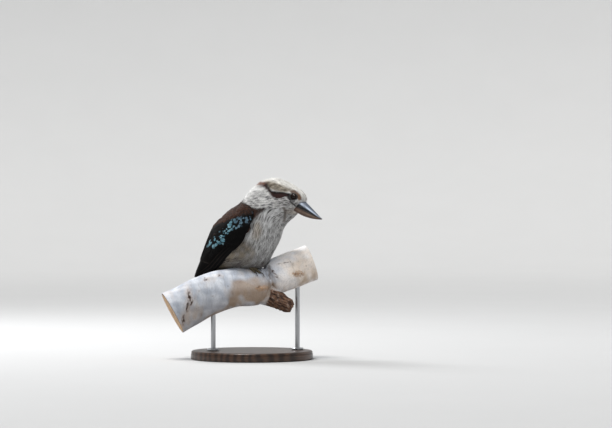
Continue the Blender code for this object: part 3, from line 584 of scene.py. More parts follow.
def right_side(u, v):
    """Places in the side view, of points of the body folded over to the right side."""
    v = np.mod(np.asarray(v, float), 1.0)
    v = np.where(v < 0.5, 1 - v, v)
    p = BODY_SKIN.at(u, v)
    x, y = side_view(p)
    return v, p, x, y


def hood_edge(x):
    """The lower edge of the loose ruff of head and neck feathers, which hang over the breast and mantle."""
    return np.interp(x, [238, 243, 247.6, 250.6, 257, 264.6, 272, 280, 284.5, 287, 300], [198, 203, 206, 208.4, 209.4, 208.7, 207.8, 208.2, 210.5, 214, 216])


def hooded(u, v):
    v, p, x, y = right_side(u, v)
    return (1 - step(-0.8, 0.8, y - hood_edge(x))) * (1 - step(8.2, 9.0, u)), hood_edge(x) - y


def dashes(across, along, density, seed, sharp=0.34):
    """Broken lines: across counts the lines, along the dashes of each. 0 to 1."""
    line = np.floor(across)
    own = hash01(line + 0.5, seed)
    run = along + 7.3 * own
    dash = np.floor(run)
    on = hash01(line + 0.5, dash + 0.5, seed + 1.0)
    middle = line + 0.5 + 0.24 * (hash01(line, dash, seed + 2.0) - 0.5)
    return (on < density) * np.exp(-((across - middle) / sharp) ** 2) * np.sin(np.pi * (run - dash)) ** 0.5 * (0.55 + 0.45 * hash01(line, dash, seed + 3.0))


def body_marks_and_shade(u, v):
    """Base colour with painted shade in places, streak colour, how strong the streak is and whether the place is on the
    back. Both sides carry the same.
    """
    u = np.asarray(u, float)
    v, p, x, y = right_side(u, v)
    back = np.cos(2 * np.pi * v)                      # 1 along the back, -1 along the belly
    lateral = np.abs(np.sin(2 * np.pi * v))
    on_head = 1 - step(5.2, 6.4, u)
    cells = p[..., 0], p[..., 1], p[..., 2]
    patch = waves(*(c / 9 for c in cells), 3)
    x, y = x + 0.3 * waves(*(c / 3.5 for c in cells), 11), y + 0.3 * waves(*(c / 3.5 for c in cells), 12)
    hood = (1 - step(-0.6, 0.6, y - hood_edge(x))) * (1 - step(8.2, 9.0, u))
    # breast and belly, with broken dark shaft lines
    base = mix(BREAST, luminous(np.broadcast_to(BREAST, u.shape + (3,)), 0.90 + 0.10 * patch), np.ones(u.shape))
    lines = v + 0.009 * (u - 6) * step(0.5, 0.62, v) * (1 - step(11, 14, u))
    power = 1.15 * dashes(lines * 68 + 0.45 * waves(u / 2.6, v * 12, 0, 14), u / 1.25, 0.74, 5.0)
    power = np.maximum(power, 0.7 * dashes(lines * 118 + 0.35 * waves(u / 1.9, v * 16, 0, 15), u / 0.8, 0.6, 6.0))
    streak = np.broadcast_to(BREAST_STREAK, base.shape).copy()
    # buff flanks and undertail
    buff = area(x, y, ((226.0, 252.0), (234.0, 247.0), (242.0, 241.0), (250.0, 243.0), (254.0, 254.0), (248.0, 262.0), (232.0, 264.0), (205.0, 280.0), (205.0, 264.0)), 4.5)
    base = mix(base, BUFF, 0.70 * np.clip(buff * (0.8 + 0.4 * patch), 0, 1))
    base = mix(base, FLANK, 0.75 * step(14.0, 17.5, u))
    base = mix(base, BUFF, 0.4 * area(x, y, ((254.0, 224.0), (259.0, 222.0), (262.0, 232.0), (258.0, 240.0), (252.0, 238.0)), 2.5))
    # the lower breast and belly are darkened: painted shade of the underside
    base = luminous(base, 1 - 0.38 * step(9.5, 12.5, u))
    # painted shadow where the belly meets the perch: the feather ends there are darkened
    low = area(x, y, ((232.0, 263.0), (241.0, 261.5), (250.0, 261.5), (258.0, 262.0), (264.0, 260.0), (269.0, 263.0), (268.0, 280.0), (228.0, 280.0)), 1.8) * step(10.0, 11.0, u)
    base = mix(base, rgb(52, 42, 36), 0.9 * low * (0.62 + 0.38 * waves(x / 1.1, y / 7, 0, 13)))
    # ruff of neck: white, with fine wavy broken bars that run back
    base = mix(base, WHITE, hood)
    bars = 1.15 * dashes(y / 2.3 + 0.42 * waves(x / 9, y / 9, 0, 17), x / 7.0, 0.88, 8.0, 0.34)
    bars = np.maximum(bars, 0.8 * dashes(y / 1.45 + 0.4 * waves(x / 7, y / 8, 0, 18), x / 4.6, 0.62, 9.0))
    streak = mix(streak, BARRING, hood)
    power = power * (1 - hood) + hood * bars * (1 - 0.45 * step(0.35, 0.9, back))
    # cheeks and chin
    cheek = hood * area(x, y, ((274.0, 200.0), (282.0, 198.5), (290.0, 201.0), (300.0, 203.0), (300.0, 222.0), (284.0, 222.0), (276.0, 210.0)), 2.5)
    base = mix(base, GREY_WHITE, 0.8 * cheek)
    streak = mix(streak, CHEEK_STREAK, cheek)
    base = mix(base, rgb(186, 174, 160), 0.6 * hood * area(x, y, ((285.0, 209.0), (300.0, 209.0), (300.0, 224.0), (283.0, 224.0)), 2.0))
    # crown: cream, streaked lower down, white at its edge
    crown = on_head * (1 - step(-0.8, 0.6, y - np.interp(x, [262, 266, 269, 272, 281, 288, 292, 296, 299, 301, 305], [181.0, 182.8, 186.5, 190.0, 191.8, 192.6, 190.8, 191.0, 193.2, 196.8, 202.0])))
    base = mix(base, CREAM, crown * 0.9)
    base = mix(base, WHITE, crown * step(0.70, 0.97, back) * 0.75)
    streak = mix(streak, CROWN_STREAK, crown)
    rows = dashes(v * 92 + 0.6 * waves(u / 1.8, v * 12, 0, 19), u / 0.8, 0.74, 12.0, 0.36)
    power = power * (1 - crown) + crown * rows * (1 - 0.55 * step(0.6, 0.95, back)) * (1 - 0.45 * step(3.0, 1.8, u))
    streaked = area(x, y, CROWN_STREAKED, 1.5) * on_head * crown
    power = np.maximum(power, 1.1 * streaked * dashes(y / 1.25 + 0.5 * waves(x / 8, y / 8, 0, 20), x / 4.0, 0.72, 13.0))
    base = mix(base, CROWN_BUFF, 0.85 * streaked * (0.8 + 0.2 * patch))
    base = mix(base, rgb(92, 76, 52), 0.55 * on_head * area(x, y, ((264.5, 181.6), (268.5, 181.4), (272.6, 188.4), (269.0, 188.0)), 0.9))
    # the brown in front of the eye fades before it reaches the middle of the forehead
    before = area(x, y, BEFORE_EYE, 0.7) * on_head * step(0.20, 0.36, lateral)
    base = mix(base, mix(rgb(96, 70, 50), TAN, step(295.0, 299.5, x)), 0.92 * before)
    wide = step(8.0, 6.8, u)
    band = area(x, y, BAND, 0.6) * wide * step(256.0, 265.0, x)
    base = mix(base, MAROON, band)
    rufous = area(x, y, NAPE_RUFOUS, 0.8) * wide
    base = mix(base, RUFOUS, rufous * np.clip(0.82 + 0.35 * waves(x / 2.4, y / 0.9, back, 16), 0, 1))
    darkest = area(x, y, BAND_DARK, 0.75) * wide * np.clip(0.85 + 0.3 * waves(x / 1.6, y / 1.1, 0, 22), 0, 1)
    base = mix(base, STRIPE, darkest)
    # dark ring of small feathers about the eye, drawn out behind it
    ring = on_head * (1 - step(3.9, 5.3, np.hypot((x - 292.4) / 1.22, (y - 197.3) / 0.78)))
    base = mix(base, STRIPE, 0.95 * ring)
    # the corner of the mouth runs back as a dark line
    gape = on_head * (1 - step(0.45, 1.2, to_edges(x, y, GAPE, False)))
    base = mix(base, STRIPE, 0.92 * gape)
    # painted shade: a brown line down the crease between cheek and throat, under the edge of the ruff
    shaded_crease = (1 - step(0.4, 2.0, to_edges(x, y, THROAT_CREASE_SHADE, False))) * (1 - step(6.0, 7.0, u))
    base = mix(base, rgb(96, 78, 62), 0.7 * shaded_crease)
    power = power * (1 - 0.75 * np.maximum.reduce([band, before, ring, gape, rufous, darkest]))
    # back
    rear = area(x, y, BACK_PART, 0.8) * step(6.2, 6.8, u) * (1 - hood)
    base = mix(base, MANTLE, rear)
    streak = mix(streak, MANTLE_EDGE, rear)
    front = rear * area(x, y, ((262.0, 212.0), (256.0, 212.5), (250.0, 217.0), (244.0, 228.0), (236.0, 240.0), (232.0, 250.0), (256.0, 250.0), (262.0, 226.0)), 1.2)
    base, streak = mix(base, rgb(22, 18, 17), front), mix(streak, rgb(40, 32, 29), front)
    base = mix(base, mix(MANTLE, RUMP, 0.75 + 0 * u), rear * step(15.0, 16.5, u) * step(0.0, 0.5, back))
    power = power * (1 - rear) + rear * 0.5 * (hash01(np.floor(v * 90), np.floor(u * 1.4)) > 0.4)
    patch_dark = area(x, y, SHOULDER, 0.9) * step(5.0, 5.6, u) * (1 - hood)
    base = mix(base, rgb(62, 44, 38), 0.92 * patch_dark)
    power = power * (1 - 0.6 * patch_dark)
    # painted shadow: a dark line along the lower edge of the ruff, where it overhangs the back
    line = (1 - step(0.35, 1.3, to_edges(x, y, COLLAR_SHADOW, False))) * step(5.0, 5.5, u) * (1 - step(10, 11, u))
    base = mix(base, rgb(38, 27, 22), 0.92 * line)
    power = power * (1 - 0.8 * line)
    # the breast lies in the shade of the ruff
    under = (1 - hood) * (1 - rear) * step(4.8, 5.4, u) * (1 - step(0.0, 2.6, y - hood_edge(x)))
    base = luminous(base, 1 - 0.38 * under)
    return base, streak, power, rear


BODY_SKIN = Body()
WING_LEFT, WING_RIGHT = Wing(1), Wing(-1)
TAIL = Tail()
RNG = np.random.default_rng(SEED)


# ------------------------------------------------------------------ the branch's frame
def heading(along, side, z):
    a = math.radians(BRANCH_TURN)
    along, side, z = np.broadcast_arrays(np.asarray(along, float), np.asarray(side, float), np.asarray(z, float))
    return np.stack([along * math.cos(a) - side * math.sin(a), along * math.sin(a) + side * math.cos(a), z], -1)


def limb_lump(angle, along):
    return 1 + 0.018 * np.sin(2 * angle + 0.022 * along) + 0.012 * np.sin(3 * angle - 0.031 * along + 1.0)


LIMB_LINE = smooth(LIMB, np.linspace(0, len(LIMB) - 1, 200))
SHOOT_LINE = smooth(SHOOT, np.linspace(0, len(SHOOT) - 1, 120))


def clearance(p):
    """Distance out from the bark, negative inside the wood."""
    a = math.radians(BRANCH_TURN)
    along, side = p[..., 0] * math.cos(a) + p[..., 1] * math.sin(a), -p[..., 0] * math.sin(a) + p[..., 1] * math.cos(a)
    found = []
    for line in (LIMB_LINE, SHOOT_LINE):
        z, off, r = (np.interp(along, line[:, 0], line[:, k]) for k in (1, 2, 3))
        slope = (np.interp(along + 4, line[:, 0], line[:, 1]) - np.interp(along - 4, line[:, 0], line[:, 1])) / 8
        d = np.hypot(side - off, (p[..., 2] - z) / np.sqrt(1 + slope * slope)) - r
        found.append(np.where((along < line[0, 0] - 6) | (along > line[-1, 0] + 6), 60.0, d))
    return np.minimum(*found)


def on_bark(x, y, above):
    a = math.radians(BRANCH_TURN)
    along, side = x * math.cos(a) + y * math.sin(a), -x * math.sin(a) + y * math.cos(a)
    z, off, r = (float(np.interp(along, LIMB_LINE[:, 0], LIMB_LINE[:, k])) for k in (1, 2, 3))
    slope = (np.interp(along + 4, LIMB_LINE[:, 0], LIMB_LINE[:, 1]) - np.interp(along - 4, LIMB_LINE[:, 0], LIMB_LINE[:, 1])) / 8
    angle = (side - off) / r
    reach = r * limb_lump(angle, along) + above
    return heading(along - slope * reach * math.cos(angle) * 0.3, off + reach * math.sin(angle),
                   z + reach * math.cos(angle) * math.sqrt(1 + slope * slope))


# ------------------------------------------------------------------ materials
def material(name, roughness=0.7, metallic=0.0, sheen=0.0, coat=0.0, specular=0.5):
    mat = bpy.data.materials.new(name)
    mat.use_nodes = True
    tree = mat.node_tree
    shader = tree.nodes["Principled BSDF"]
    shader.inputs["Roughness"].default_value = roughness
    shader.inputs["Metallic"].default_value = metallic
    shader.inputs["Specular IOR Level"].default_value = specular
    if sheen:
        shader.inputs["Sheen Weight"].default_value = sheen
        shader.inputs["Sheen Roughness"].default_value = 0.5
    if coat:
        shader.inputs["Coat Weight"].default_value = coat
        shader.inputs["Coat Roughness"].default_value = 0.12
    return mat, tree, shader


class Nodes:
    """A short hand for building node trees."""

    def __init__(self, tree):
        self.tree = tree

    def new(self, kind, **inputs):
        node = self.tree.nodes.new(kind)
        for key, value in inputs.items():
            key = key.replace("_", " ")
            if key in node.inputs:
                self.set(node.inputs[key], value)
            else:
                setattr(node, key.replace(" ", "_"), value)
        return node

    def set(self, socket, value):
        if isinstance(value, bpy.types.NodeSocket):
            self.tree.links.new(value, socket)
        elif isinstance(value, (tuple, list, np.ndarray)):
            socket.default_value = (*value, 1.0) if len(value) == 3 and socket.type == "RGBA" else tuple(value)
        else:
            socket.default_value = value

    def math(self, operation, a, b=0.0, c=0.0, clamp=False):
        node = self.tree.nodes.new("ShaderNodeMath")
        node.operation, node.use_clamp = operation, clamp
        for socket, value in zip(node.inputs, (a, b, c)):
            self.set(socket, value)
        return node.outputs[0]

    def mix(self, a, b, factor, blend="MIX"):
        node = self.tree.nodes.new("ShaderNodeMix")
        node.data_type, node.blend_type = "RGBA", blend
        self.set(node.inputs[0], factor)
        self.set(node.inputs[6], a)
        self.set(node.inputs[7], b)
        return node.outputs[2]

    def noise(self, vector, scale, detail=4.0, rough=0.55, stretch=None):
        if stretch is not None:
            mapping = self.tree.nodes.new("ShaderNodeMapping")
            mapping.inputs["Scale"].default_value = stretch
            self.tree.links.new(vector, mapping.inputs["Vector"])
            vector = mapping.outputs[0]
        node = self.tree.nodes.new("ShaderNodeTexNoise")
        node.inputs["Scale"].default_value = scale
        node.inputs["Detail"].default_value = detail
        node.inputs["Roughness"].default_value = rough
        self.tree.links.new(vector, node.inputs["Vector"])
        return node.outputs["Fac"]

    def ramp(self, factor, *stops):
        node = self.tree.nodes.new("ShaderNodeValToRGB")
        ramp = node.color_ramp
        while len(ramp.elements) < len(stops):
            ramp.elements.new(0.5)
        for element, (at, colour) in zip(ramp.elements, stops):
            element.position = at
            element.color = (*colour, 1.0) if hasattr(colour, "__len__") else (colour, colour, colour, 1.0)
        self.set(node.inputs[0], factor)
        return node.outputs[0]

    def bump(self, height, distance, strength=1.0):
        node = self.tree.nodes.new("ShaderNodeBump")
        node.inputs["Distance"].default_value = distance
        node.inputs["Strength"].default_value = strength
        self.tree.links.new(height, node.inputs["Height"])
        return node.outputs[0]


def place(n):
    return n.tree.nodes.new("ShaderNodeTexCoord").outputs["Object"]


def painted(n, name="Col"):
    node = n.tree.nodes.new("ShaderNodeAttribute")
    node.attribute_name = name
    return node.outputs["Color"]


def plumage(name, roughness, sheen, fine, specular=0.35):
    """Feather: its own painted colour, varied along the barbs, with a faint grain of barbs in relief."""
    mat, tree, shader = material(name, roughness, 0.0, sheen, 0.0, specular)
    n = Nodes(tree)
    at = place(n)
    grain = n.noise(at, fine, 3.0, 0.6)
    patches = n.noise(at, fine * 0.12, 3.0, 0.5)
    shade = n.ramp(grain, (0.25, 0.72), (0.75, 1.16))
    broad = n.ramp(patches, (0.3, 0.90), (0.7, 1.06))
    colour = n.mix(painted(n), shade, 0.85, "MULTIPLY")
    colour = n.mix(colour, broad, 0.8, "MULTIPLY")
    n.set(shader.inputs["Base Color"], colour)
    n.set(shader.inputs["Normal"], n.bump(grain, 0.0004, 0.5))
    return mat


SOFT = plumage("plumage_soft", 0.85, 0.15, 900.0, 0.2)
FIRM = plumage("plumage_firm", 0.66, 0.0, 700.0, 0.08)
SKIN = plumage("skin_under_feathers", 0.9, 0.0, 500.0, 0.15)

# ------------------------------------------------------------------ eyes
def head_place(x, y, z):
    return turned(np.array([x, y, z], float), 1.0)


def head_way(x, y, z):
    d = head_place(TURN_X + x, y, z) - head_place(TURN_X, 0, 0)
    return d / np.linalg.norm(d)


EYES = {name: (head_place(EYE_AT[0], sign * EYE_AT[1], EYE_AT[2]), head_way(0.42, sign * 1.0, 0.05), sign)
        for name, sign in (("left", 1), ("right", -1))}
LID_OPEN = 5.9


def part_at_eyes(grid):
    """Feathers that would cross an eye are dropped, and those beside it are drawn round it."""
    keep = np.ones(len(grid), bool)
    for centre, axis, _ in EYES.values():
        rel = grid - centre
        ahead = rel @ axis
        flat = rel - ahead[..., None] * axis
        d = np.linalg.norm(flat, axis=-1)
        near = (ahead > 0) & (d < 12)
        keep &= ~np.any(near & (d < LID_OPEN - 1.4), axis=(1, 2))
        want = np.where(d < LID_OPEN + 0.9, LID_OPEN + 0.9 + 0.25 * (d - LID_OPEN - 0.9), d)
        grid = np.where((near & (d > 1e-6))[..., None], centre + ahead[..., None] * axis + flat * (want / np.maximum(d, 1e-6))[..., None], grid)
    return grid, keep


class FaceCoat(Coat):
    def add(self, grid, colors, root_uv, pointed=True):
        grid, keep = part_at_eyes(grid)
        super().add(grid[keep], colors[keep], root_uv[keep], pointed)


def revolve(profile, centre, axis, up, count, squash=None):
    """Rings of a profile of (angle off the axis, distance from the centre) spun about the axis."""
    side = np.cross(axis, up)
    side /= np.linalg.norm(side)
    up = np.cross(side, axis)
    phi = np.linspace(0, 2 * np.pi, count, endpoint=False)
    rings = []
    for angle, r in profile:
        a = np.radians(angle) * (1 + (0 * phi if squash is None else squash(phi)))
        ring = centre + r * (np.cos(a)[:, None] * axis + np.sin(a)[:, None] * (np.cos(phi)[:, None] * side + np.sin(phi)[:, None] * up))
        rings.append(ring)
    return np.array(rings)


def grid_faces(rows, cols, wrap, start=0):
    i, j = np.meshgrid(np.arange(rows - 1), np.arange(cols if wrap else cols - 1), indexing="ij")
    k = (j + 1) % cols
    return (np.stack([i * cols + j, i * cols + k, (i + 1) * cols + k, (i + 1) * cols + j], -1) + start).reshape(-1, 4)


def closed_loft(rings):
    """Verts, quads and tris of rings closed with a fan at each end."""
    rows, cols = rings.shape[:2]
    verts = np.concatenate([rings.reshape(-1, 3), rings[0].mean(0)[None], rings[-1].mean(0)[None]])
    quads = grid_faces(rows, cols, True)
    j = np.arange(cols)
    k = (j + 1) % cols
    first = np.stack([k, j, np.full(cols, rows * cols)], -1)
    last = np.stack([j + (rows - 1) * cols, k + (rows - 1) * cols, np.full(cols, rows * cols + 1)], -1)
    return verts, quads, np.concatenate([first, last])


def joined(parts):
    v, q, t, n = [], [], [], 0
    for verts, quads, tris in parts:
        v.append(verts), q.append(quads + n), t.append(tris + n)
        n += len(verts)
    return np.concatenate(v), np.concatenate(q), np.concatenate(t)


def outward(obj):
    bm = bmesh.new()
    bm.from_mesh(obj.data)
    bmesh.ops.recalc_face_normals(bm, faces=bm.faces)
    bm.to_mesh(obj.data)
    bm.free()


def applied(obj, kind, **settings):
    modifier = obj.modifiers.new("m", kind)
    for key, value in settings.items():
        setattr(modifier, key, value)
    mesh = bpy.data.meshes.new_from_object(obj.evaluated_get(bpy.context.evaluated_depsgraph_get()))
    obj.modifiers.clear()
    old = obj.data
    obj.data = mesh
    bpy.data.meshes.remove(old)
    return obj


def coords(obj):
    """Vertices in millimetres about the feet."""
    co = np.empty(len(obj.data.vertices) * 3, np.float32)
    obj.data.vertices.foreach_get("co", co)
    return co.reshape(-1, 3).astype(float) / MM - [0, 0, FEET_Z]


def set_coords(obj, p):
    obj.data.vertices.foreach_set("co", ((p + [0, 0, FEET_Z]) * MM).astype(np.float32).ravel())
    obj.data.update()


def normals(obj):
    n = np.empty(len(obj.data.vertices) * 3, np.float32)
    obj.data.vertices.foreach_get("normal", n)
    return n.reshape(-1, 3).astype(float)


# ------------------------------------------------------------------ skin
def coat_depth(u):
    return np.interp(u, [0, 1.0, 5, 8, 12, 17, 19], [0.8, 1.6, 2.6, 3.4, 4.2, 3.5, 2.0])


def toe_path(side, heading_deg, length, r0, r1, claw, count=26):
    a = math.radians(heading_deg) * side

    def laid(d, above):
        return on_bark(FOOT_X[side] + math.cos(a) * d, side * FOOT_Y + math.sin(a) * d, above)

    toe, nail = [], []
    for f in np.linspace(0, 1, count):
        pads = 1 + 0.09 * math.cos(2 * math.pi * f * 2.5)
        scute = 1 + 0.03 * math.sin(2 * math.pi * f * length / 1.7)
        r = (r0 + (r1 - r0) * f) * pads * scute
        toe.append((laid(length * f, (r0 + (r1 - r0) * f) * pads + TOE_CLEAR - 0.5), r))
    toe.append((laid(length + 0.8, r1 * 0.8 + TOE_CLEAR), r1 * 0.8))
    toe.append((laid(length + 1.5, r1 * 0.72 + TOE_CLEAR + 0.2), r1 * 0.45))
    for f in np.linspace(0, 1, 14):
        r = r1 * 0.60 * (1 - f ** 1.3) + 0.28 * f
        nail.append((laid(length + 0.4 + (claw + 1.2) * f, r + TOE_CLEAR + 0.5 + 2.3 * math.sin(math.pi * min(1.0, f * 1.08)) - 0.6 * f), r))
    return toe, nail


def tube(points, radii, segs=14):
    points, radii = np.array(points, float), np.array(radii, float)
    tangent = np.gradient(points, axis=0)
    tangent /= np.linalg.norm(tangent, axis=1)[:, None]
    side = np.cross(tangent[0], [0.0, 1.0, 0.1])
    a = np.linspace(0, 2 * np.pi, segs, endpoint=False)
    rings = []
    for p, t, r in zip(points, tangent, radii):
        side = side - t * (side @ t)
        side /= np.linalg.norm(side)
        rings.append(p + r * (side * np.cos(a)[:, None] + np.cross(t, side) * np.sin(a)[:, None]))
    return closed_loft(np.array(rings))


def make_skin():
    u, v = np.meshgrid(np.linspace(0, LAST, 150), np.linspace(0, 1, 110, endpoint=False), indexing="ij")
    shells = [closed_loft(BODY_SKIN.at(u, v, coat_depth(u)))]
    for wing in (WING_LEFT, WING_RIGHT):
        r, c = np.meshgrid(np.linspace(0.01, 0.985, 90), np.linspace(0.02, 0.97, 44), indexing="ij")
        p, n, _, _ = frames(wing, r, c, body_core)
        thick = (6.0 - 3.2 * r)[..., None] * np.minimum(1, 0.35 + 4 * np.minimum(c, 1 - c))[..., None]
        loop = np.concatenate([p - n * 1.3, (p - n * (1.3 + thick))[:, ::-1]], 1)
        shells.append(closed_loft(loop))
    r, c = np.meshgrid(np.linspace(0.02, 0.96, 70), np.linspace(0.03, 0.97, 26), indexing="ij")
    p = TAIL.at(r, c)
    out = np.array([0.885, 0, -0.47])
    shells.append(closed_loft(np.concatenate([p + out * 0.9, (p + out * (3.6 - 1.2 * r)[..., None])[:, ::-1]], 1)))
    skin = new_object("skin", *joined(shells))
    outward(skin)
    applied(skin, "REMESH", mode="VOXEL", voxel_size=0.0013, use_smooth_shade=True)
    applied(skin, "SMOOTH", factor=0.5, iterations=4)
    p = coords(skin)
    # colour by the nearest place on the coat's own surfaces, with the body's colours darkened as painted shade beneath
    # the feathers
    tree, marks = KDTree(200 * 120 + 2 * 60 * 40 + 30 * 12), []
    uu, vv = np.meshgrid(np.linspace(0, LAST, 200), np.linspace(0, 1, 120, endpoint=False), indexing="ij")
    base, _, _, _ = body_marks_and_shade(uu.ravel(), vv.ravel())
    samples = [BODY_SKIN.at(uu, vv, coat_depth(uu)).reshape(-1, 3)]
    marks.append(base * 0.82)
    for wing in (WING_LEFT, WING_RIGHT):
        r, c = np.meshgrid(np.linspace(0, 1, 60), np.linspace(0, 1, 40), indexing="ij")
        samples.append(wing.at(r, c).reshape(-1, 3))
        marks.append(np.broadcast_to(WING, (r.size, 3)))
    r, c = np.meshgrid(np.linspace(0, 1, 30), np.linspace(0, 1, 12), indexing="ij")
    samples.append(TAIL.at(r, c).reshape(-1, 3))
    # the tail's rufous, darkened as painted shade beneath the tail feathers
    marks.append(np.broadcast_to(TAIL_RUFOUS * 0.6, (r.size, 3)))
    samples, marks = np.concatenate(samples), np.concatenate(marks)
    tree = KDTree(len(samples))
    for i, q in enumerate(samples):
        tree.insert(q, i)
    tree.balance()
    nearest = np.array([tree.find(q)[1] for q in p])
    colours = marks[nearest]
    # eye openings: the skin draws back round each eye
    for centre, axis, _ in EYES.values():
        rel = p - centre
        ahead = rel @ axis
        flat = rel - ahead[:, None] * axis
        d = np.linalg.norm(flat, axis=1)
        near = (ahead > 0) & (d < 9.0)
        p[near] -= axis * (np.clip(ahead[near] - 3.2, 0, None) * (1 - step(6.6, 9.0, d[near])))[:, None]
    # legs, toes and lids, fine enough for their scales and folds
    parts, tints = [], []
    for sign in (1, -1):
        ankle = on_bark(FOOT_X[sign] - 0.5, sign * FOOT_Y, 4.4)
        hock = np.array([FOOT_X[sign] + TARSUS_LEAN, sign * (FOOT_Y - 1.0), TARSUS_TOP + 6])
        f = np.linspace(0, 1, 40)
        radius = TARSUS_R * np.interp(f, [0, 0.15, 0.6, 1], [1.2, 0.98, 0.95, 1.2]) * (1 + 0.03 * np.sin(f * 60))
        parts.append(tube(ankle + (hock - ankle) * f[:, None], radius, 18))
        for spec in TOES:
            toe, _ = toe_path(sign, *spec)
            parts.append(tube([q for q, _ in toe], [r for _, r in toe], 16))
    tints += [np.broadcast_to(rgb(92, 84, 70), (len(part[0]), 3)) for part in parts]
    for centre, axis, sign in EYES.values():
        phi = np.linspace(0, 2 * np.pi, 72, endpoint=False)
        profile = [(49, EYE_R - 0.25), (49, EYE_R + 0.12), (50.5, EYE_R + 0.42), (54, EYE_R + 0.62), (58, EYE_R + 0.42), (61, EYE_R + 0.60),
                   (66, EYE_R + 0.7), (73, EYE_R + 0.3), (84, EYE_R - 0.8)]
        rings = revolve(profile, centre, axis, np.array([0, 0, 1.0]), 72, lambda a: 0.07 * np.cos(2 * a) - 0.03 * np.sin(a) + 0.006 * np.cos(24 * a))
        rows, cols = rings.shape[:2]
        parts.append((rings.reshape(-1, 3), grid_faces(rows, cols, True), np.zeros((0, 3), int)))
        tints.append(np.broadcast_to(rgb(34, 27, 24), (rows * cols, 3)))
    faces = len(skin.data.polygons)
    quads = np.empty(len(skin.data.loops), np.int32)
    skin.data.loops.foreach_get("vertex_index", quads)
    totals = np.empty(faces, np.int32)
    skin.data.polygons.foreach_get("loop_total", totals)
    if not (totals == 4).all():
        raise RuntimeError("the remeshed skin isn't all quads")
    verts, quads, tris = joined([(p, quads.reshape(-1, 4), np.zeros((0, 3), int))] + parts)
    old = skin.data
    bpy.data.objects.remove(skin)
    bpy.data.meshes.remove(old)
    skin = new_object("skin", verts, quads, tris)
    set_color(skin, np.concatenate([colours] + tints))
    skin.data.materials.append(SKIN)
    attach(skin, "root")
    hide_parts("head", "neck", "trunk", "wing_left", "wing_right", "tail", "foot_left", "foot_right")
    return skin


# ------------------------------------------------------------------ soft coat of head, neck and body
def in_wing(p, margin=0.0):
    """How far inside the folded wing's outline a point of the body lies, seen from the side, in mm."""
    outline = [tuple(q) for q in WING_FRONT] + [tuple(q) for q in WING_BACK]
    return -to_edges(p[..., 0], p[..., 2], outline) * 1.0


def under_colour(base, streak, power, rng, dim=0.8, root=0.4):
    """Small whole feathers, painted along their length, dimmed overall and darker towards the root as painted shade
    beneath the loose blades.
    """
    tone = dim * (0.9 + 0.2 * rng.random(len(base)))

    def paint(t, s):
        col = mix(base, streak, np.clip(power * 0.85, 0, 1))[:, :, None]
        # painted shade: dimmed overall and darker towards the root
        return col * ((1 - root * (1 - step(0.0, 0.5, t))) * tone[:, None, None] + 0 * s)[..., None]

    return paint


def vane_colour(base, streak, power, rng, shaft=0.5, edge=None, edge_at=0.72, edge_power=0.7, root=0.35):
    n = len(base)
    tone = 0.92 + 0.16 * rng.random(n)

    def paint(t, s):
        k = (power * shaft)[:, None, None] * np.exp(-(s / 0.28) ** 2) * step(0.1, 0.4, t) * (1 - 0.6 * step(0.75, 1.0, t))
        col = mix(base[:, None, None], streak[:, None, None], k)
        if edge is not None:
            rim = np.maximum(step(edge_at, 1.0, np.abs(s)) * step(0.2, 0.6, t), step(0.84, 0.97, t) + 0 * s) * edge_power
            col = mix(col, edge[:, None, None] if edge.ndim == 2 else edge, rim + np.zeros((n, 1, 1)))
        # darker towards the root: painted shade where the feathers overlap; the tone varies at random
        shade = (1 - root * (1 - step(0.0, 0.5, t))) * tone[:, None, None]
        return col * (shade + 0 * s)[..., None]

    return paint


def lengths(u):
    """Feather length on the body, by where its root is."""
    return np.interp(u, [0, 0.6, 2.0, 4.0, 6.0, 8.5, 11, 15, 19], [3.6, 4.8, 7.5, 11.0, 14.0, 16.5, 19.0, 22.0, 24.0])


def lie(u, v, way):
    """The turn from the way u runs to another way, over the body's surface. The way is given for the right side."""
    p, n, su, sv = frames(BODY_SKIN, u, v, body_core)
    way = np.broadcast_to(np.asarray(way, float), p.shape).copy()
    way[..., 1] *= np.where(np.mod(v, 1.0) < 0.5, -1, 1)
    way = way - n * np.sum(way * n, -1)[..., None]
    along = su / np.linalg.norm(su, axis=-1)[..., None]
    across = sv - along * np.sum(sv * along, -1)[..., None]
    across /= np.linalg.norm(across, axis=-1)[..., None]
    return np.arctan2(np.sum(way * across, -1), np.sum(way * along, -1))


def lay_of_coat(u, v):
    """Which way the soft feathers point: straight back over head and ruff, straight down over the breast."""
    hood, _ = hooded(u, v)
    lateral = step(0.25, 0.75, np.abs(np.sin(2 * np.pi * v)))
    back = 0.75 * hood * lateral * step(1.6, 3.0, u) * (1 - step(7.2, 8.6, u)) * np.clip(lie(u, v, (-1.0, 0.0, -0.22)), -1.1, 1.1)
    down = 0.75 * (1 - hood) * lateral * step(4.6, 5.4, u) * (1 - step(11.0, 13.5, u)) * np.clip(lie(u, v, (-0.18, 0.0, -1.0)), -1.1, 1.1)
    return back + down


def reached(u, v, angle, length, t):
    """The places on the body that lie under feathers at shares t of their length."""
    _, _, su, sv = frames(BODY_SKIN, u, v, body_core)
    a = u[:, None] + (length * np.cos(angle) / np.linalg.norm(su, axis=-1))[:, None] * t
    return np.clip(a, 0, LAST), v[:, None] + (length * np.sin(angle) / np.linalg.norm(sv, axis=-1))[:, None] * t


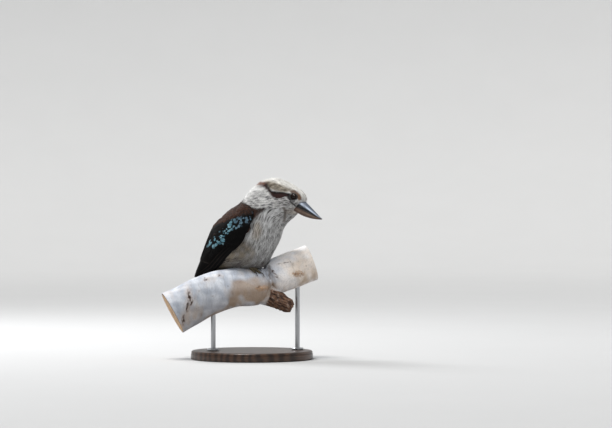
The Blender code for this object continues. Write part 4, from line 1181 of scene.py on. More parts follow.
def soft_coat(name, u_range, spacing, under_spacing):
    rng = np.random.default_rng(SEED + int(u_range[0] * 10))
    coat = FaceCoat(u_range)

    def keep(u, v, p):
        back = np.cos(2 * np.pi * v)
        hidden = step(1.5, 5.0, in_wing(p)) * step(7.8, 8.6, u)
        mantle = step(8.8, 9.8, u) * step(0.35, 0.75, back)
        sunk = 1 - step(-6.0, -2.0, clearance(p))
        return np.clip(1 - np.maximum.reduce([hidden, mantle, sunk]), 0, 1)

    def feather(u, v):
        n = len(u)
        p = BODY_SKIN.at(u, v)
        back = np.cos(2 * np.pi * v)
        hood, above = hooded(u, v)
        length = lengths(u) * (0.82 + 0.36 * rng.random(n))
        wing_edge = np.exp(-(np.clip(-in_wing(p), 0, None) / 7.0) ** 2) * step(8.4, 9.6, u) * (1 - step(14.5, 16.0, u))
        crown = (1 - step(4.6, 6.2, u)) * step(0.15, 0.75, back)
        fore = step(0.4, 1.2, u) * (1 - step(2.2, 3.4, u)) * step(0.5, 0.95, back)
        nape = hood * step(4.6, 5.6, u) * step(0.2, 0.8, back)
        fringe = hood * np.exp(-((above - 3.2) / 3.2) ** 2) * step(2.4, 3.6, u)
        brow = step(0.9, 1.6, u) * (1 - step(3.8, 5.0, u)) * np.exp(-((back - 0.60) / 0.16) ** 2)
        chest = (1 - hood) * step(5.0, 7.0, u)
        stray = np.abs(rng.normal(0, 1.0, n))
        tip = 0.5 + 0.5 * crown + 0.5 * fore + 4.2 * wing_edge + 1.7 * fringe + 0.9 * nape + 0.5 * brow + 0.2 * chest
        tip = tip + stray * (0.35 + 0.7 * nape + 0.45 * fore + 0.25 * crown + 0.5 * chest + 0.15 * hood)
        mid = 0.1 + 0.4 * crown + 0.3 * fore + 2.4 * wing_edge + 1.1 * fringe + 0.4 * nape + 0.4 * brow
        hang = step(10.6, 11.8, u) * (1 - step(14.0, 15.5, u)) * step(-0.2, -0.7, back)
        length = length * (1 + 0.2 * crown + 0.15 * fringe + 0.25 * fore + 0.55 * hang)
        tip = tip + 2.6 * hang
        mid = mid + 0.6 * hang
        high = np.stack([-coat_depth(u) * 0.85, mid + rng.normal(0, 0.15, n), tip + rng.normal(0, 0.25, n)], -1)
        angle = lay_of_coat(u, v) + rng.normal(0, 0.17, n)
        return length, high, angle

    # whole small feathers beneath
    u, v = scatter(BODY_SKIN, u_range, (0, 1), lambda a, b, p: np.interp(a, [0, 2, 5, 9, 19], under_spacing), rng, keep)
    length, high, angle = feather(u, v)
    base, streak, power, _ = body_marks_and_shade(*reached(u, v, angle, length, np.linspace(0, 1, 5)))
    high[:, 1] = high[:, 1] * 0.8 - 0.6
    high[:, 2] = high[:, 2] * 0.45 - 0.5
    vanes(coat, BODY_SKIN, u, v, angle, length, length * 0.5, high,
          under_colour(base, streak, power, rng), rng, rows=5, cols=3, camber=0.10)
    under = len(u)
    # loose blades over them
    u, v = scatter(BODY_SKIN, u_range, (0, 1), lambda a, b, p: np.interp(a, [0, 2, 5, 9, 19], spacing), rng, keep)
    length, high, angle = feather(u, v)
    tone = 0.84 + 0.32 * rng.random(len(u))
    strands(coat, BODY_SKIN, u, v, angle, length, length * 0.34, high, tone, rng, count=5, rows=4, spread=0.17)
    if u_range[0] == 0:
        # loose tufts that stand up from the forehead, the brow and the back of the crown
        def raised(a, b, p):
            back = np.cos(2 * np.pi * b)
            return step(0.25, 0.6, a) * (1 - step(4.0, 4.6, a)) * step(0.20, 0.55, back)

        u, v = scatter(BODY_SKIN, u_range, (0, 1), lambda a, b, p: np.interp(a, [0, 2, 4.6], [3.0, 4.0, 4.6]), rng, raised)
        n = len(u)
        back = np.cos(2 * np.pi * v)
        front = 1 - step(1.6, 3.2, u)
        length = np.interp(u, [0, 1, 2, 4.6], [6.0, 8.0, 9.5, 11.0]) * (0.8 + 0.4 * rng.random(n))
        tips = (0.9 + 1.2 * front + 1.2 * step(3.0, 4.2, u)) * (0.2 + 1.4 * rng.random(n) ** 1.5) + 0.5
        high = np.stack([np.full(n, -1.0), 0.4 + 0.35 * tips, tips + 0.3], -1)
        strands(coat, BODY_SKIN, u, v, lay_of_coat(u, v) + rng.normal(0, 0.3, n), length, length * 0.30, high, 0.95 + 0.2 * rng.random(n), rng,
                count=4, rows=5, spread=0.20)
    obj = coat.make(name, SOFT)
    print(name, "feathers", under, "tufts", len(u), "triangles", sum(len(p.vertices) - 2 for p in obj.data.polygons))
    return obj


# ------------------------------------------------------------------ wings
BLUE_BAND = ((256.5, 213.5), (249.0, 215.2), (240.0, 218.4), (232.0, 221.2), (223.4, 228.6), (216.0, 235.4), (210.0, 241.0), (208.6, 246.6),
             (214.0, 247.6), (224.0, 243.0), (227.4, 236.6), (232.0, 231.0), (240.6, 229.6), (246.0, 225.6), (251.8, 221.4), (255.6, 217.4))
WING_BROWN = ((270.0, 205.0), (262.0, 212.4), (254.0, 213.4), (246.0, 214.8), (238.0, 216.8), (230.0, 220.2), (221.0, 227.6), (213.0, 235.6),
              (207.0, 243.0), (203.6, 252.0), (190.0, 262.0), (180.0, 230.0), (220.0, 190.0), (262.0, 190.0))


def wing_px(r, c):
    return side_view(WING_RIGHT.at(np.clip(r, 0, 1), np.clip(c, 0, 1)))


def long_feathers(coat, surface, r0, c0, r1, c1, width, lift, tilt, colour, inside, rows=22, cols=7, profile=quill, camber=0.05, skew=0.0):
    """Flight feathers along paths between two places on a surface."""
    r0, c0, r1, c1, width, lift = (np.asarray(a, float)[:, None, None] for a in (r0, c0, r1, c1, width, lift))
    t = np.linspace(0, 1, rows)[None, :, None]
    s = np.linspace(-1, 1, cols)[None, None, :]
    m = len(r0)
    r = r0 + (r1 - r0) * t + 0 * s
    c = c0 + (c1 - c0) * t + 0 * s
    over = np.clip(r - 1, 0, None)
    p, n, su, sv = frames(surface, np.clip(r, 0, 1), np.clip(c, 0, 1), inside)
    side = sv / (np.linalg.norm(sv, axis=-1)[..., None] + 1e-9)
    half = 0.5 * width * profile(t)
    p = p + su * over[..., None]
    h = lift + tilt * s + camber * width * (1 - s * s) * profile(t)
    grid = p + side * (s * half + skew * half)[..., None] + n * h[..., None]
    col = np.broadcast_to(colour(t, s), grid.shape).copy()
    coat.add(grid, col, roots_uv(coat, surface, r0[:, 0, 0], c0[:, 0, 0]))


def flight_coat(name, wing, seed):
    """Three tertials, eleven secondaries and ten primaries, the topmost first, and the greater coverts over their roots."""
    rng = np.random.default_rng(seed)
    coat = Coat()
    k = np.arange(24)
    r0 = np.interp(k, [0, 3, 14, 23], [0.30, 0.24, 0.24, 0.20])
    c0 = np.interp(k, [0, 3, 13, 23], [0.12, 0.22, 0.62, 0.95])
    r1 = np.interp(k, [0, 3, 6, 13, 14, 17, 20, 22, 23], [0.66, 0.78, 0.80, 0.76, 0.86, 0.94, 0.99, 1.00, 0.95])
    c1 = np.interp(k, [0, 3, 6, 13, 14, 17, 20, 23], [0.15, 0.19, 0.28, 0.60, 0.30, 0.36, 0.52, 0.84])
    width = np.interp(k, [0, 3, 6, 13, 14, 23], [23, 25, 22, 18, 16, 12])
    tone = 0.8 + 0.4 * rng.random(24)

    def flight(t, s):
        base = np.broadcast_to(WING, (24, 1, 1, 3)) * tone[:, None, None, None]
        rim = step(0.70, 0.96, np.abs(s)) * 0.6 + 0 * t
        col = mix(base, WING_EDGE, rim + np.zeros((24, 1, 1)))
        col = mix(col, rgb(52, 44, 40), 0.8 * np.exp(-(s / 0.1) ** 2) + 0 * t + np.zeros((24, 1, 1)))
        pale = (step(0.92, 1.0, t) * 0.4 + 0 * s) * (k < 14)[:, None, None]
        return mix(col, rgb(84, 76, 70), pale)

    long_feathers(coat, wing, r0, c0, r1, c1, width, np.interp(k, [0, 6, 23], [1.9, 1.2, 0.1]), 0.75, flight, body_core, rows=30, cols=9)
    c = np.linspace(0.17, 0.90, 24)
    m = len(c)
    r = np.interp(c, [0.17, 0.5, 0.90], [0.30, 0.30, 0.10]) + rng.normal(0, 0.006, m)
    reach = np.interp(c, [0.17, 0.5, 0.90], [0.20, 0.24, 0.26])
    tone_c = 0.8 + 0.4 * rng.random(m)

    def greater(t, s):
        base = np.broadcast_to(WING * 1.15, (m, 1, 1, 3)) * tone_c[:, None, None, None]
        rim = np.maximum(step(0.7, 1.0, np.abs(s)) + 0 * t, step(0.88, 1.0, t) + 0 * s) * 0.6
        return mix(base, WING_EDGE, rim + np.zeros((m, 1, 1)))

    long_feathers(coat, wing, r, c, r + reach, c, np.full(m, 15.0), np.full(m, 1.5), 0.7, greater, body_core, rows=16, cols=9, camber=0.08)
    obj = coat.make(name, FIRM)
    print(name, "triangles", sum(len(p.vertices) - 2 for p in obj.data.polygons))


def covert_coat(name, wing, seed):
    """Lesser and median coverts, many with pale blue ends, and the scapulars that fall over the wing's upper edge."""
    rng = np.random.default_rng(seed)
    coat = Coat((0.0, 0.62))

    def keep(a, b, p):
        return (1 - step(-0.03, 0.03, b - np.interp(a, [0, 0.12, 0.26, 0.45, 0.6], [1.06, 1.0, 0.86, 0.78, 0.66]))) * (1 - step(0.54, 0.60, a))

    r, c = scatter(wing, (0.0, 0.60), (0.0, 1.0), lambda a, b, p: np.interp(a, [0, 0.1, 0.5], [3.2, 4.1, 5.4]), rng, keep, cells=(110, 80))
    n = len(r)
    size = np.interp(r, [0, 0.1, 0.5], [9.0, 12.5, 18.0]) * (0.9 + 0.2 * rng.random(n))
    # where each one's tip comes to lie decides its colour
    run = np.linalg.norm(wing.at(r, c) - wing.at(np.clip(r + 0.02, 0, 1), c), axis=-1) / 0.02
    x, y = wing_px(r + 0.75 * size / np.maximum(run, 60), c)
    brown = area(x, y, WING_BROWN, 1.2)
    clump = waves(x / 5.5, y / 5.5, 0, 71)
    spot = area(x, y, BLUE_BAND, 0.9) * (rng.random(n) < 0.84 - 0.62 * step(0.1, 0.6, clump)) * (0.75 + 0.25 * rng.random(n))
    base = mix(np.broadcast_to(WING, (n, 3)), MANTLE, brown)
    edge = mix(np.broadcast_to(WING_EDGE, (n, 3)), MANTLE_EDGE, brown)
    # greyer near the bend, bright further back
    bright = 1 - step(228.0, 240.0, x)
    pale = mix(mix(np.broadcast_to(rgb(84, 106, 124), (n, 3)), BLUE, bright), BLUE_PALE, rng.random(n) * (0.3 + 0.5 * bright))
    tones = 0.75 + 0.5 * rng.random(n)

    def covert(t, s):
        col = base[:, None, None] * tones[:, None, None, None] + np.zeros((n, t.shape[1], s.shape[2], 1))
        rim = np.maximum(step(0.7, 1.0, np.abs(s)) * step(0.3, 0.6, t), step(0.86, 1.0, t) + 0 * s)
        col = mix(col, edge[:, None, None], rim * (0.3 + 0.45 * brown)[:, None, None])
        blue = step(0.40, 0.62, t - 0.06 * np.abs(s)) * (0.55 + 0.45 * step(0.05, 0.25, np.abs(s))) * (1 - 0.85 * step(0.50, 0.85, np.abs(s))) * spot[:, None, None]
        return mix(col, pale[:, None, None], blue)

    h = np.stack([np.full(n, -0.9), 0.7 + 0.3 * rng.random(n), 1.4 + 0.9 * rng.random(n)], -1) + np.interp(r, [0, 0.25, 0.6], [0.0, 0.6, 1.1])[:, None]
    vanes(coat, wing, r, c, rng.normal(0, 0.10, n) - 0.05, size, size * 0.62, h, covert, rng, rows=8, cols=7, camber=0.10)
    # scapulars
    r, c = scatter(wing, (0.0, 0.50), (0.0, 0.34), lambda a, b, p: 4.6 + 0 * a, rng, lambda a, b, p: 1 - step(0.20, 0.32, b + 0.20 * a), cells=(60, 30))
    m = len(r)
    size = np.interp(r, [0, 0.4], [15, 28]) * (0.88 + 0.24 * rng.random(m))
    tone = (0.78 + 0.44 * rng.random(m))[:, None]
    high = np.stack([np.full(m, -2.2), 1.2 + 0.3 * rng.random(m), 2.0 + 0.9 * rng.random(m)], -1)
    vanes(coat, wing, r, c, rng.normal(0.10, 0.13, m), size, size * 0.50, high,
          vane_colour(MANTLE * tone, np.broadcast_to(MANTLE_EDGE, (m, 3)), np.full(m, 0.6), rng, 0.4, np.broadcast_to(MANTLE_EDGE, (m, 3)), 0.5, 0.8),
          rng, rows=8, cols=7)
    obj = coat.make(name, FIRM)
    print(name, "coverts", n, "scapulars", m, "triangles", sum(len(p.vertices) - 2 for p in obj.data.polygons))


# ------------------------------------------------------------------ back and tail
def back_coat():
    """Mantle, rump and the coverts over the tail."""
    rng = np.random.default_rng(SEED + 90)
    coat = Coat((6.6, float(LAST)))

    def keep(u, v, p):
        back = np.cos(2 * np.pi * v)
        _, _, _, rear = body_marks_and_shade(u, v)
        return rear * step(-0.05, 0.25, back) * (1 - step(9.0, 13.0, in_wing(p)))

    u, v = scatter(BODY_SKIN, (6.6, LAST), (0, 1), lambda a, b, p: np.interp(a, [7, 9, 11, 19], [3.4, 4.2, 5.0, 5.8]), rng, keep)
    base, streak, power, rear = body_marks_and_shade(u, v)
    base = mix(base, MANTLE, (rear < 0.9) * 1.0)
    size = np.interp(u, [7, 9, 11, 15, 19], [11, 15, 19, 24, 30]) * (0.88 + 0.24 * rng.random(len(u)))
    edge = mix(MANTLE_EDGE[None] * np.ones((len(u), 1)), BLUE_PALE, 0.6 * step(15.0, 16.5, u))
    high = np.stack([np.full(len(u), -2.0), 0.7 + 0.3 * rng.random(len(u)), 1.2 + 0.8 * rng.random(len(u))], -1)
    # those beside a wing rise and turn out, and so fall over its upper edge
    beside = step(-13.0, 2.0, in_wing(BODY_SKIN.at(u, v))) * step(8.2, 9.4, u) * (1 - step(15.0, 17.0, u))
    high = high + beside[:, None] * np.array([2.2, 3.6, 4.4])
    size = size * (1 + 0.25 * beside)
    turn = np.where(np.mod(v, 1.0) < 0.5, 1.0, -1.0) * 0.42 * beside
    vanes(coat, BODY_SKIN, u, v, turn + rng.normal(0, 0.12, len(u)), size, size * 0.56, high,
          vane_colour(base, streak, 0.3 + 0.7 * power, rng, 0.4, edge, 0.5, 0.75), rng, rows=7, cols=7)
    obj = coat.make("coat_back", FIRM)
    print("coat_back triangles", sum(len(p.vertices) - 2 for p in obj.data.polygons))
    return obj


def tail_inside(p):
    return p + np.array([0.885, 0, -0.47]) * 20


def tail_coat():
    rng = np.random.default_rng(SEED + 60)
    coat = Coat()
    for sign in (-1, 1):
        k = np.arange(6)
        centre = 0.5 + sign * np.interp(k, [0, 5], [0.05, 0.42])
        root = 0.5 + sign * np.interp(k, [0, 5], [0.06, 0.40])
        ends = np.interp(k, [0, 5], [1.035, 0.965])
        tone = 0.9 + 0.2 * rng.random(6)

        def rectrix(t, s):
            wave = np.sin(2 * np.pi * (t * 9.5 + 0.12 * np.abs(s) + 0.13 * k[:, None, None]))
            bars = step(-0.1, 0.35, wave) * step(0.12, 0.2, t) * (1 - step(0.86, 0.9, t))
            col = mix(TAIL_RUFOUS * tone[:, None, None, None] + np.zeros((6, t.shape[1], s.shape[2], 1)), TAIL_BAR, bars)
            col = mix(col, TAIL_BAR, (step(0.82, 0.85, t) * (1 - step(0.91, 0.93, t))) + 0 * s + np.zeros((6, 1, 1)))
            return mix(col, TAIL_WHITE, step(0.92, 0.945, t) + 0 * s + np.zeros((6, 1, 1)))

        long_feathers(coat, TAIL, np.full(6, 0.0), root, ends, centre, np.interp(k, [0, 5], [15, 12.5]), np.interp(k, [0, 5], [1.3, 0.2]),
                      0.35 * sign, rectrix, tail_inside, rows=110, cols=13, camber=0.06)
    obj = coat.make("coat_tail", FIRM)
    return obj


# ------------------------------------------------------------------ bill
def bill_piece(name, top, bottom, upper):
    stations = np.linspace(0, len(top) - 1, 61)
    around = 49
    t, b = smooth(top, stations), smooth(bottom, stations)
    halves = smooth([[h] for h in BILL_HALF], stations)[:, 0]
    share = stations / stations[-1]
    a = np.pi * np.linspace(0, 1, around)
    c, s = np.cos(a), np.sin(a) ** 0.75
    flat, ridge = (b, t) if upper else (t, b)
    y = halves[:, None] * (np.sign(c) * np.abs(c) ** 0.85)[None]
    x = flat[:, None, 0] + (ridge - flat)[:, None, 0] * s[None]
    z = flat[:, None, 1] + (ridge - flat)[:, None, 1] * s[None]
    p = np.stack([x, y, z], -1)
    tall = np.linalg.norm(ridge - flat, axis=1)[:, None]
    at = s[None] + 0 * y
    if upper:
        # a shallow furrow runs forward from the nostril, the ridge over it stands up, and the tip hangs over a little
        furrow = np.exp(-((at - 0.42) / 0.10) ** 2) * np.exp(-((share[:, None] - 0.1) / 0.42) ** 2)
        p[..., 1] -= np.sign(y) * 0.55 * furrow
        nostril = np.exp(-((share[:, None] - 0.17) / 0.045) ** 2 - ((at - 0.40) / 0.06) ** 2)
        p[..., 1] -= np.sign(y) * 1.5 * nostril
        edge = np.exp(-(at / 0.07) ** 2)
        p[..., 1] += np.sign(y) * 0.18 * edge * (1 - share[:, None])
        p[..., 2] -= 0.35 * np.exp(-((share[:, None] - 1) / 0.04) ** 2) * (1 - at)
    else:
        edge = np.exp(-(at / 0.09) ** 2)
        p[..., 1] -= np.sign(y) * 0.25 * edge * (1 - share[:, None])
        ridge_line = np.exp(-((at - 0.80) / 0.10) ** 2)
        p[..., 2] += 0.25 * ridge_line * (1 - share[:, None])
    # growth lines too small to see apart from their gloss
    grow = waves(share[:, None] * 14 + 0 * y, at * 4, 0.0, 5 if upper else 6)
    p[..., 1] += np.sign(y) * 0.05 * grow
    rings = turned(p, 1.0)
    verts, quads, tris = closed_loft(rings)
    obj = new_object(name, verts, quads, tris)
    outward(obj)
    S, T = np.broadcast_to(share[:, None], y.shape), at
    patch = waves(S * 6, T * 3, 0 * T, 21)
    if upper:
        # the upper mandible is black horn: its slate tone and the pale blue-grey band along its upper side are a
        # painted reflection of the sky, and the black along its lower edge is the horn's own colour
        col = mix(rgb(74, 80, 90) + 0 * p, rgb(182, 194, 212), np.exp(-((T - 0.74) / 0.15) ** 2) * (0.75 + 0.25 * patch))
        col = mix(col, rgb(9, 9, 10), 1 - step(0.36 - 0.10 * S, 0.60 - 0.12 * S, T + 0.05 * patch))
        col = mix(col, rgb(34, 30, 30), 0.7 * (1 - step(0.0, 0.09, S)))
        col = mix(col, rgb(58, 50, 48), 0.8 * step(0.88, 1.0, S))
        col = mix(col, rgb(8, 7, 7), np.exp(-((S - 0.17) / 0.045) ** 2 - ((T - 0.42) / 0.07) ** 2))
    else:
        col = mix(rgb(90, 70, 58) + 0 * p, rgb(88, 64, 52), step(0.40, 0.95, T) * 0.85)
        col = mix(col, rgb(146, 124, 106), 0.6 * np.exp(-((T - 0.36) / 0.18) ** 2) * (0.6 + 0.4 * patch) * step(0.08, 0.3, S))
        # dark along the edge under the upper mandible: partly painted shade in the join between the mandibles, partly
        # the dark edge of the horn
        col = mix(col, rgb(26, 22, 21), 0.95 * (1 - step(0.04 + 0.10 * S, 0.16 + 0.16 * S, T)))
        col = mix(col, rgb(74, 56, 48), 0.8 * step(0.66, 0.96, S))
        col = mix(col, rgb(70, 48, 40), 0.75 * (1 - step(0.02, 0.16, S)))
    col = col.reshape(-1, 3)
    set_color(obj, np.concatenate([col, col[:1], col[-1:]]))
    mat, tree, shader = material(name + "_horn", 0.42, 0.0, 0.0, 0.1, 0.4)
    n = Nodes(tree)
    here = place(n)
    streaks = n.noise(here, 420.0, 5.0, 0.65, (0.30, 1.0, 1.0))
    wear = n.noise(here, 90.0, 4.0, 0.6)
    n.set(shader.inputs["Base Color"], n.mix(painted(n), n.ramp(streaks, (0.3, 0.62), (0.7, 1.22)), 0.85, "MULTIPLY"))
    n.set(shader.inputs["Roughness"], n.ramp(wear, (0.3, 0.34), (0.75, 0.58)))
    n.set(shader.inputs["Normal"], n.bump(streaks, 0.0005, 0.7))
    obj.data.materials.append(mat)
    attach(obj, "root")
    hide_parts(name)
    return obj


def make_bill():
    upper_bottom = [(x, z + 0.35) for x, z in TOMIUM]
    lower_top = [(x, z - 0.35) for x, z in TOMIUM]
    lower_bottom = [(x, min(z, t[1] - 1.4)) for (x, z), t in zip(GONYS, TOMIUM)]
    bill_piece("bill_upper", CULMEN, upper_bottom, True)
    bill_piece("bill_lower", lower_top, lower_bottom, False)


# ------------------------------------------------------------------ eyes and claws
def make_eyes():
    mat, tree, shader = material("eye_dark", 0.08, 0.0, 0.0, 0.3, 0.2)
    shader.inputs["Coat Roughness"].default_value = 0.03
    shader.inputs["Coat IOR"].default_value = 1.35
    n = Nodes(tree)
    here = place(n)
    threads = n.noise(here, 1400.0, 4.0, 0.7)
    n.set(shader.inputs["Base Color"], n.mix(painted(n), n.ramp(threads, (0.3, 0.6), (0.7, 1.35)), 0.9, "MULTIPLY"))
    for name, (centre, axis, _) in EYES.items():
        angles = np.concatenate([np.linspace(2.5, 90, 40), np.linspace(95, 177.5, 14)])
        cornea = 0.35 * np.exp(-(angles / 30.0) ** 2)
        rings = revolve([(a, EYE_R - 0.1 + k) for a, k in zip(angles, cornea)], centre, axis, np.array([0, 0, 1.0]), 64)
        verts, quads, tris = closed_loft(rings)
        obj = new_object("eye_" + name, verts, quads, tris)
        outward(obj)
        a = np.concatenate([np.repeat(angles, 64), [0, 180]])
        col = mix(rgb(8, 6, 5) + np.zeros((len(a), 3)), rgb(38, 24, 16), step(17, 19, a) * (1 - step(36, 44, a)))
        col = mix(col, rgb(20, 14, 12), step(40, 50, a))
        set_color(obj, col)
        obj.data.materials.append(mat)
        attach(obj, "root")
        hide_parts("eye_" + name)


def make_claws():
    mat, tree, shader = material("claw_horn", 0.3, 0.0, 0.0, 0.2, 0.5)
    n = Nodes(tree)
    here = place(n)
    lines = n.noise(here, 420.0, 4.0, 0.6)
    n.set(shader.inputs["Base Color"], n.ramp(lines, (0.3, rgb(30, 26, 24)), (0.7, rgb(66, 58, 52))))
    n.set(shader.inputs["Normal"], n.bump(lines, 0.0002, 0.5))
    for side, sign in (("left", 1), ("right", -1)):
        for name, spec in zip(("outer", "middle", "inner", "hind"), TOES):
            _, nail = toe_path(sign, *spec)
            obj = new_object(f"claw_{side}_{name}", *tube([q for q, _ in nail], [r for _, r in nail], 14))
            outward(obj)
            obj.data.materials.append(mat)
            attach(obj, "root")
            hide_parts(f"claw_{side}_{name}")


# ------------------------------------------------------------------ branch
def limb_shell(rows, count, segs, grow=0.0, open_end=None):
    line = smooth(rows, np.linspace(0, len(rows) - 1, count))
    mid = heading(line[:, 0], line[:, 2], line[:, 1])
    tangent = np.gradient(mid, axis=0)
    tangent /= np.linalg.norm(tangent, axis=1)[:, None]
    side = np.cross([0, 0, 1.0], tangent)
    side /= np.linalg.norm(side, axis=1)[:, None]
    up = np.cross(tangent, side)
    a = np.linspace(0, 2 * np.pi, segs, endpoint=False)
    r = line[:, 3][:, None] * limb_lump(a[None], line[:, 0][:, None]) + grow
    rings = mid[:, None] + r[..., None] * (side[:, None] * np.sin(a)[None, :, None] + up[:, None] * np.cos(a)[None, :, None])
    return closed_loft(rings)


# marks on the bark, as (along, height above the axis or below it, and so on) in the side view's units: x, y, half width, half height, lean, kind
KNOTS = ((206.0, 279.6, 1.7, 0.9, -20, 0.8), (204.6, 278.0, 1.0, 0.5, -10, 0.5), (219.2, 275.4, 1.2, 1.0, 0, 0.8), (189.5, 297.0, 1.6, 5.6, -12, 1.5),
         (187.4, 307.0, 1.3, 5.0, 10, 1.3), (191.6, 303.0, 0.9, 3.2, 30, 0.9), (183.6, 320.0, 1.2, 4.2, 8, 0.9), (155.0, 312.0, 5.0, 1.0, 24, 0.7),
         (158.5, 315.6, 3.5, 0.9, 30, 0.6), (298.5, 273.6, 3.6, 2.0, -4, -1.9), (295.4, 273.8, 1.0, 1.4, 10, 0.8), (274.2, 273.6, 3.4, 0.6, 44, 0.9),
         (272.0, 271.0, 2.4, 0.5, 40, 0.7), (277.0, 277.4, 2.0, 0.5, 30, 0.5), (258.6, 287.4, 2.2, 1.0, -30, 0.9), (262.5, 288.5, 4.2, 1.8, -8, -1.5),
         (286.0, 262.6, 2.6, 0.4, -12, 0.35), (279.0, 264.0, 1.6, 0.35, -10, 0.3), (290.6, 262.0, 0.6, 0.6, 0, 0.5), (247.0, 268.0, 0.5, 0.5, 0, 0.4),
         (228.0, 286.0, 0.6, 0.4, 20, 0.4), (199.0, 291.0, 0.5, 0.5, 0, 0.4), (213.0, 296.0, 0.7, 0.4, 0, 0.4), (306.0, 266.0, 0.6, 0.5, 0, 0.4))


def make_branch():
    tree_shape = new_object("branch_wood", *joined([limb_shell(LIMB, 110, 120), limb_shell(SHOOT, 70, 110), limb_shell(STUB, 60, 60)]))
    outward(tree_shape)
    applied(tree_shape, "REMESH", mode="VOXEL", voxel_size=0.0013, use_smooth_shade=True)
    applied(tree_shape, "SMOOTH", factor=0.5, iterations=10)
    p, nrm = coords(tree_shape), normals(tree_shape)
    a = math.radians(BRANCH_TURN)
    along = p[:, 0] * math.cos(a) + p[:, 1] * math.sin(a)
    side = -p[:, 0] * math.sin(a) + p[:, 1] * math.cos(a)
    # which of the three lengths each point belongs to
    near = []
    for line in (LIMB_LINE, SHOOT_LINE, smooth(STUB, np.linspace(0, len(STUB) - 1, 100))):
        z, off, r = (np.interp(along, line[:, 0], line[:, k]) for k in (1, 2, 3))
        slope = np.gradient(line[:, 1], line[:, 0])
        tilt = np.interp(along, line[:, 0], slope)
        d = np.hypot(side - off, (p[:, 2] - z) / np.sqrt(1 + tilt * tilt)) - r
        reach = 12.0 if len(near) == 2 else 0.0
        d = d + 40 * step(0, 8, line[0, 0] - along) + 40 * step(0, 8, along - line[-1, 0] - reach)
        near.append(d)
    near = np.array(near)
    stub = step(-2.0, 3.0, near[:2].min(0) - np.abs(near[2]) * 0.0) * step(10.0, 30.0, along) * (near[2] < near[1] + 2.0) * (near[2] < 6.0) * (p[:, 2] < -48)
    z, off, r = (np.interp(along, LIMB_LINE[:, 0], LIMB_LINE[:, k]) for k in (1, 2, 3))
    round_it = np.arctan2(side - off, p[:, 2] - z)
    end = np.zeros(len(p))
    for line, tip, before in ((LIMB, 0, 1), (SHOOT, -1, -2)):
        mid = heading(line[tip][0], line[tip][2], line[tip][1])
        out = mid - heading(line[before][0], line[before][2], line[before][1])
        out = out / np.linalg.norm(out)
        end = np.maximum(end, ((p - mid) @ out > -4.0) * (nrm @ out > 0.75) * (np.linalg.norm(p - mid, axis=1) < 60))
    bark = (1 - end) * (1 - 0.9 * stub)
    # soft swellings, wrinkles that run round at the fork and below it, and a fine skin
    lift = 0.7 * waves(along / 38, side / 26, p[:, 2] / 26, 31) * bark
    fork = np.exp(-((along - 36.0 + 0.25 * (p[:, 2] + 40)) / 13.0) ** 2)
    wrinkle = np.sin((along + 0.35 * p[:, 2] + 3.5 * waves(side / 14, p[:, 2] / 14, 0, 33)) * 1.15)
    lift += 0.55 * fork * wrinkle * bark
    collar = np.exp(-((along + 2.0 * waves(side / 12, p[:, 2] / 12, 0, 36)) / 10.0) ** 2) * (p[:, 2] > -60)
    lift += 0.18 * np.sin(along * 1.6 + 2.2 * waves(side / 9, p[:, 2] / 9, 0, 35)) * np.clip(waves(along / 30, side / 20, p[:, 2] / 20, 37) + 0.4, 0, 1) * bark
    # thin wrinkles that bow round the limb, each with its own reach
    fold = np.zeros(len(p))
    bow = 16.0 * ((p[:, 2] - z) / np.maximum(r, 10)) ** 2
    folds = np.random.default_rng(SEED + 8)
    for _ in range(64):
        at, centre, half, side_at = folds.uniform(-150, 120), folds.uniform(-2.6, 2.6), folds.uniform(0.25, 0.9), folds.uniform(-0.9, 0.9)
        d = along - at + bow * side_at + 1.2 * waves(side / 11, p[:, 2] / 11, at, 47)
        gap = np.abs(np.angle(np.exp(1j * (round_it - centre))))
        fold = np.maximum(fold, np.exp(-(d / 0.75) ** 2) * (1 - step(half * 0.3, half, gap)) * folds.uniform(0.3, 1.0))
    lift -= 0.35 * fold * bark
    shaded_crease = np.exp(-((along - 33.0 + 2.0 * waves(side / 9, p[:, 2] / 9, 0, 38)) / 2.0) ** 2) * step(-60, -40, p[:, 2])
    lift -= 1.4 * shaded_crease * bark
    x, y = side_view(p)
    facing = nrm @ AWAY < 0.25
    scars, raised, stain = np.zeros(len(p)), np.zeros(len(p)), np.zeros(len(p))
    for kx, ky, kw, kh, lean, depth in KNOTS:
        ca, sa = math.cos(math.radians(lean)), math.sin(math.radians(lean))
        dx = x - kx + 0.45 * kw * waves(p[:, 0] / 5, p[:, 1] / 5, p[:, 2] / 5, 45)
        dy = y - ky + 0.30 * kh * waves(p[:, 0] / 5, p[:, 1] / 5, p[:, 2] / 5, 46)
        e = np.hypot((dx * ca + dy * sa) / kw, (-dx * sa + dy * ca) / kh)
        hole = np.exp(-e ** 2 * 1.4) * facing
        rim = np.exp(-((e - 1.25) / 0.35) ** 2) * facing
        if depth > 0:
            lift += (-1.5 * depth * hole + 0.7 * depth * rim) * bark
            scars = np.maximum(scars, hole * (0.55 + 0.45 * min(1.0, depth)))
            stain = np.maximum(stain, np.exp(-(e / 2.1) ** 2) * facing * min(1.0, kh / 3 + kw / 6))
        else:
            lift += (-depth * 1.6 * hole * (1 + 0.4 * waves(p[:, 0] / 2, p[:, 1] / 2, p[:, 2] / 2, 39)))
            raised = np.maximum(raised, np.maximum(hole, 0.6 * rim))
    # the same kind of marks on the side turned away
    rng = np.random.default_rng(SEED + 5)
    for _ in range(9):
        sa_, za_ = rng.uniform(-150, 110), rng.uniform(-1.0, 1.0)
        q = heading(sa_, 30.0, float(np.interp(sa_, LIMB_LINE[:, 0], LIMB_LINE[:, 1])) + 25 * za_)
        d = p - q
        e = np.hypot(np.hypot(d[:, 0], d[:, 1]) / rng.uniform(3, 7), d[:, 2] / rng.uniform(2, 8))
        hole = np.exp(-e ** 2 * 1.4) * (nrm @ AWAY > 0.2)
        rim = np.exp(-((e - 1.25) / 0.35) ** 2) * (nrm @ AWAY > 0.2)
        lift += (-1.6 * hole + 0.7 * rim) * bark
        scars = np.maximum(scars, hole)
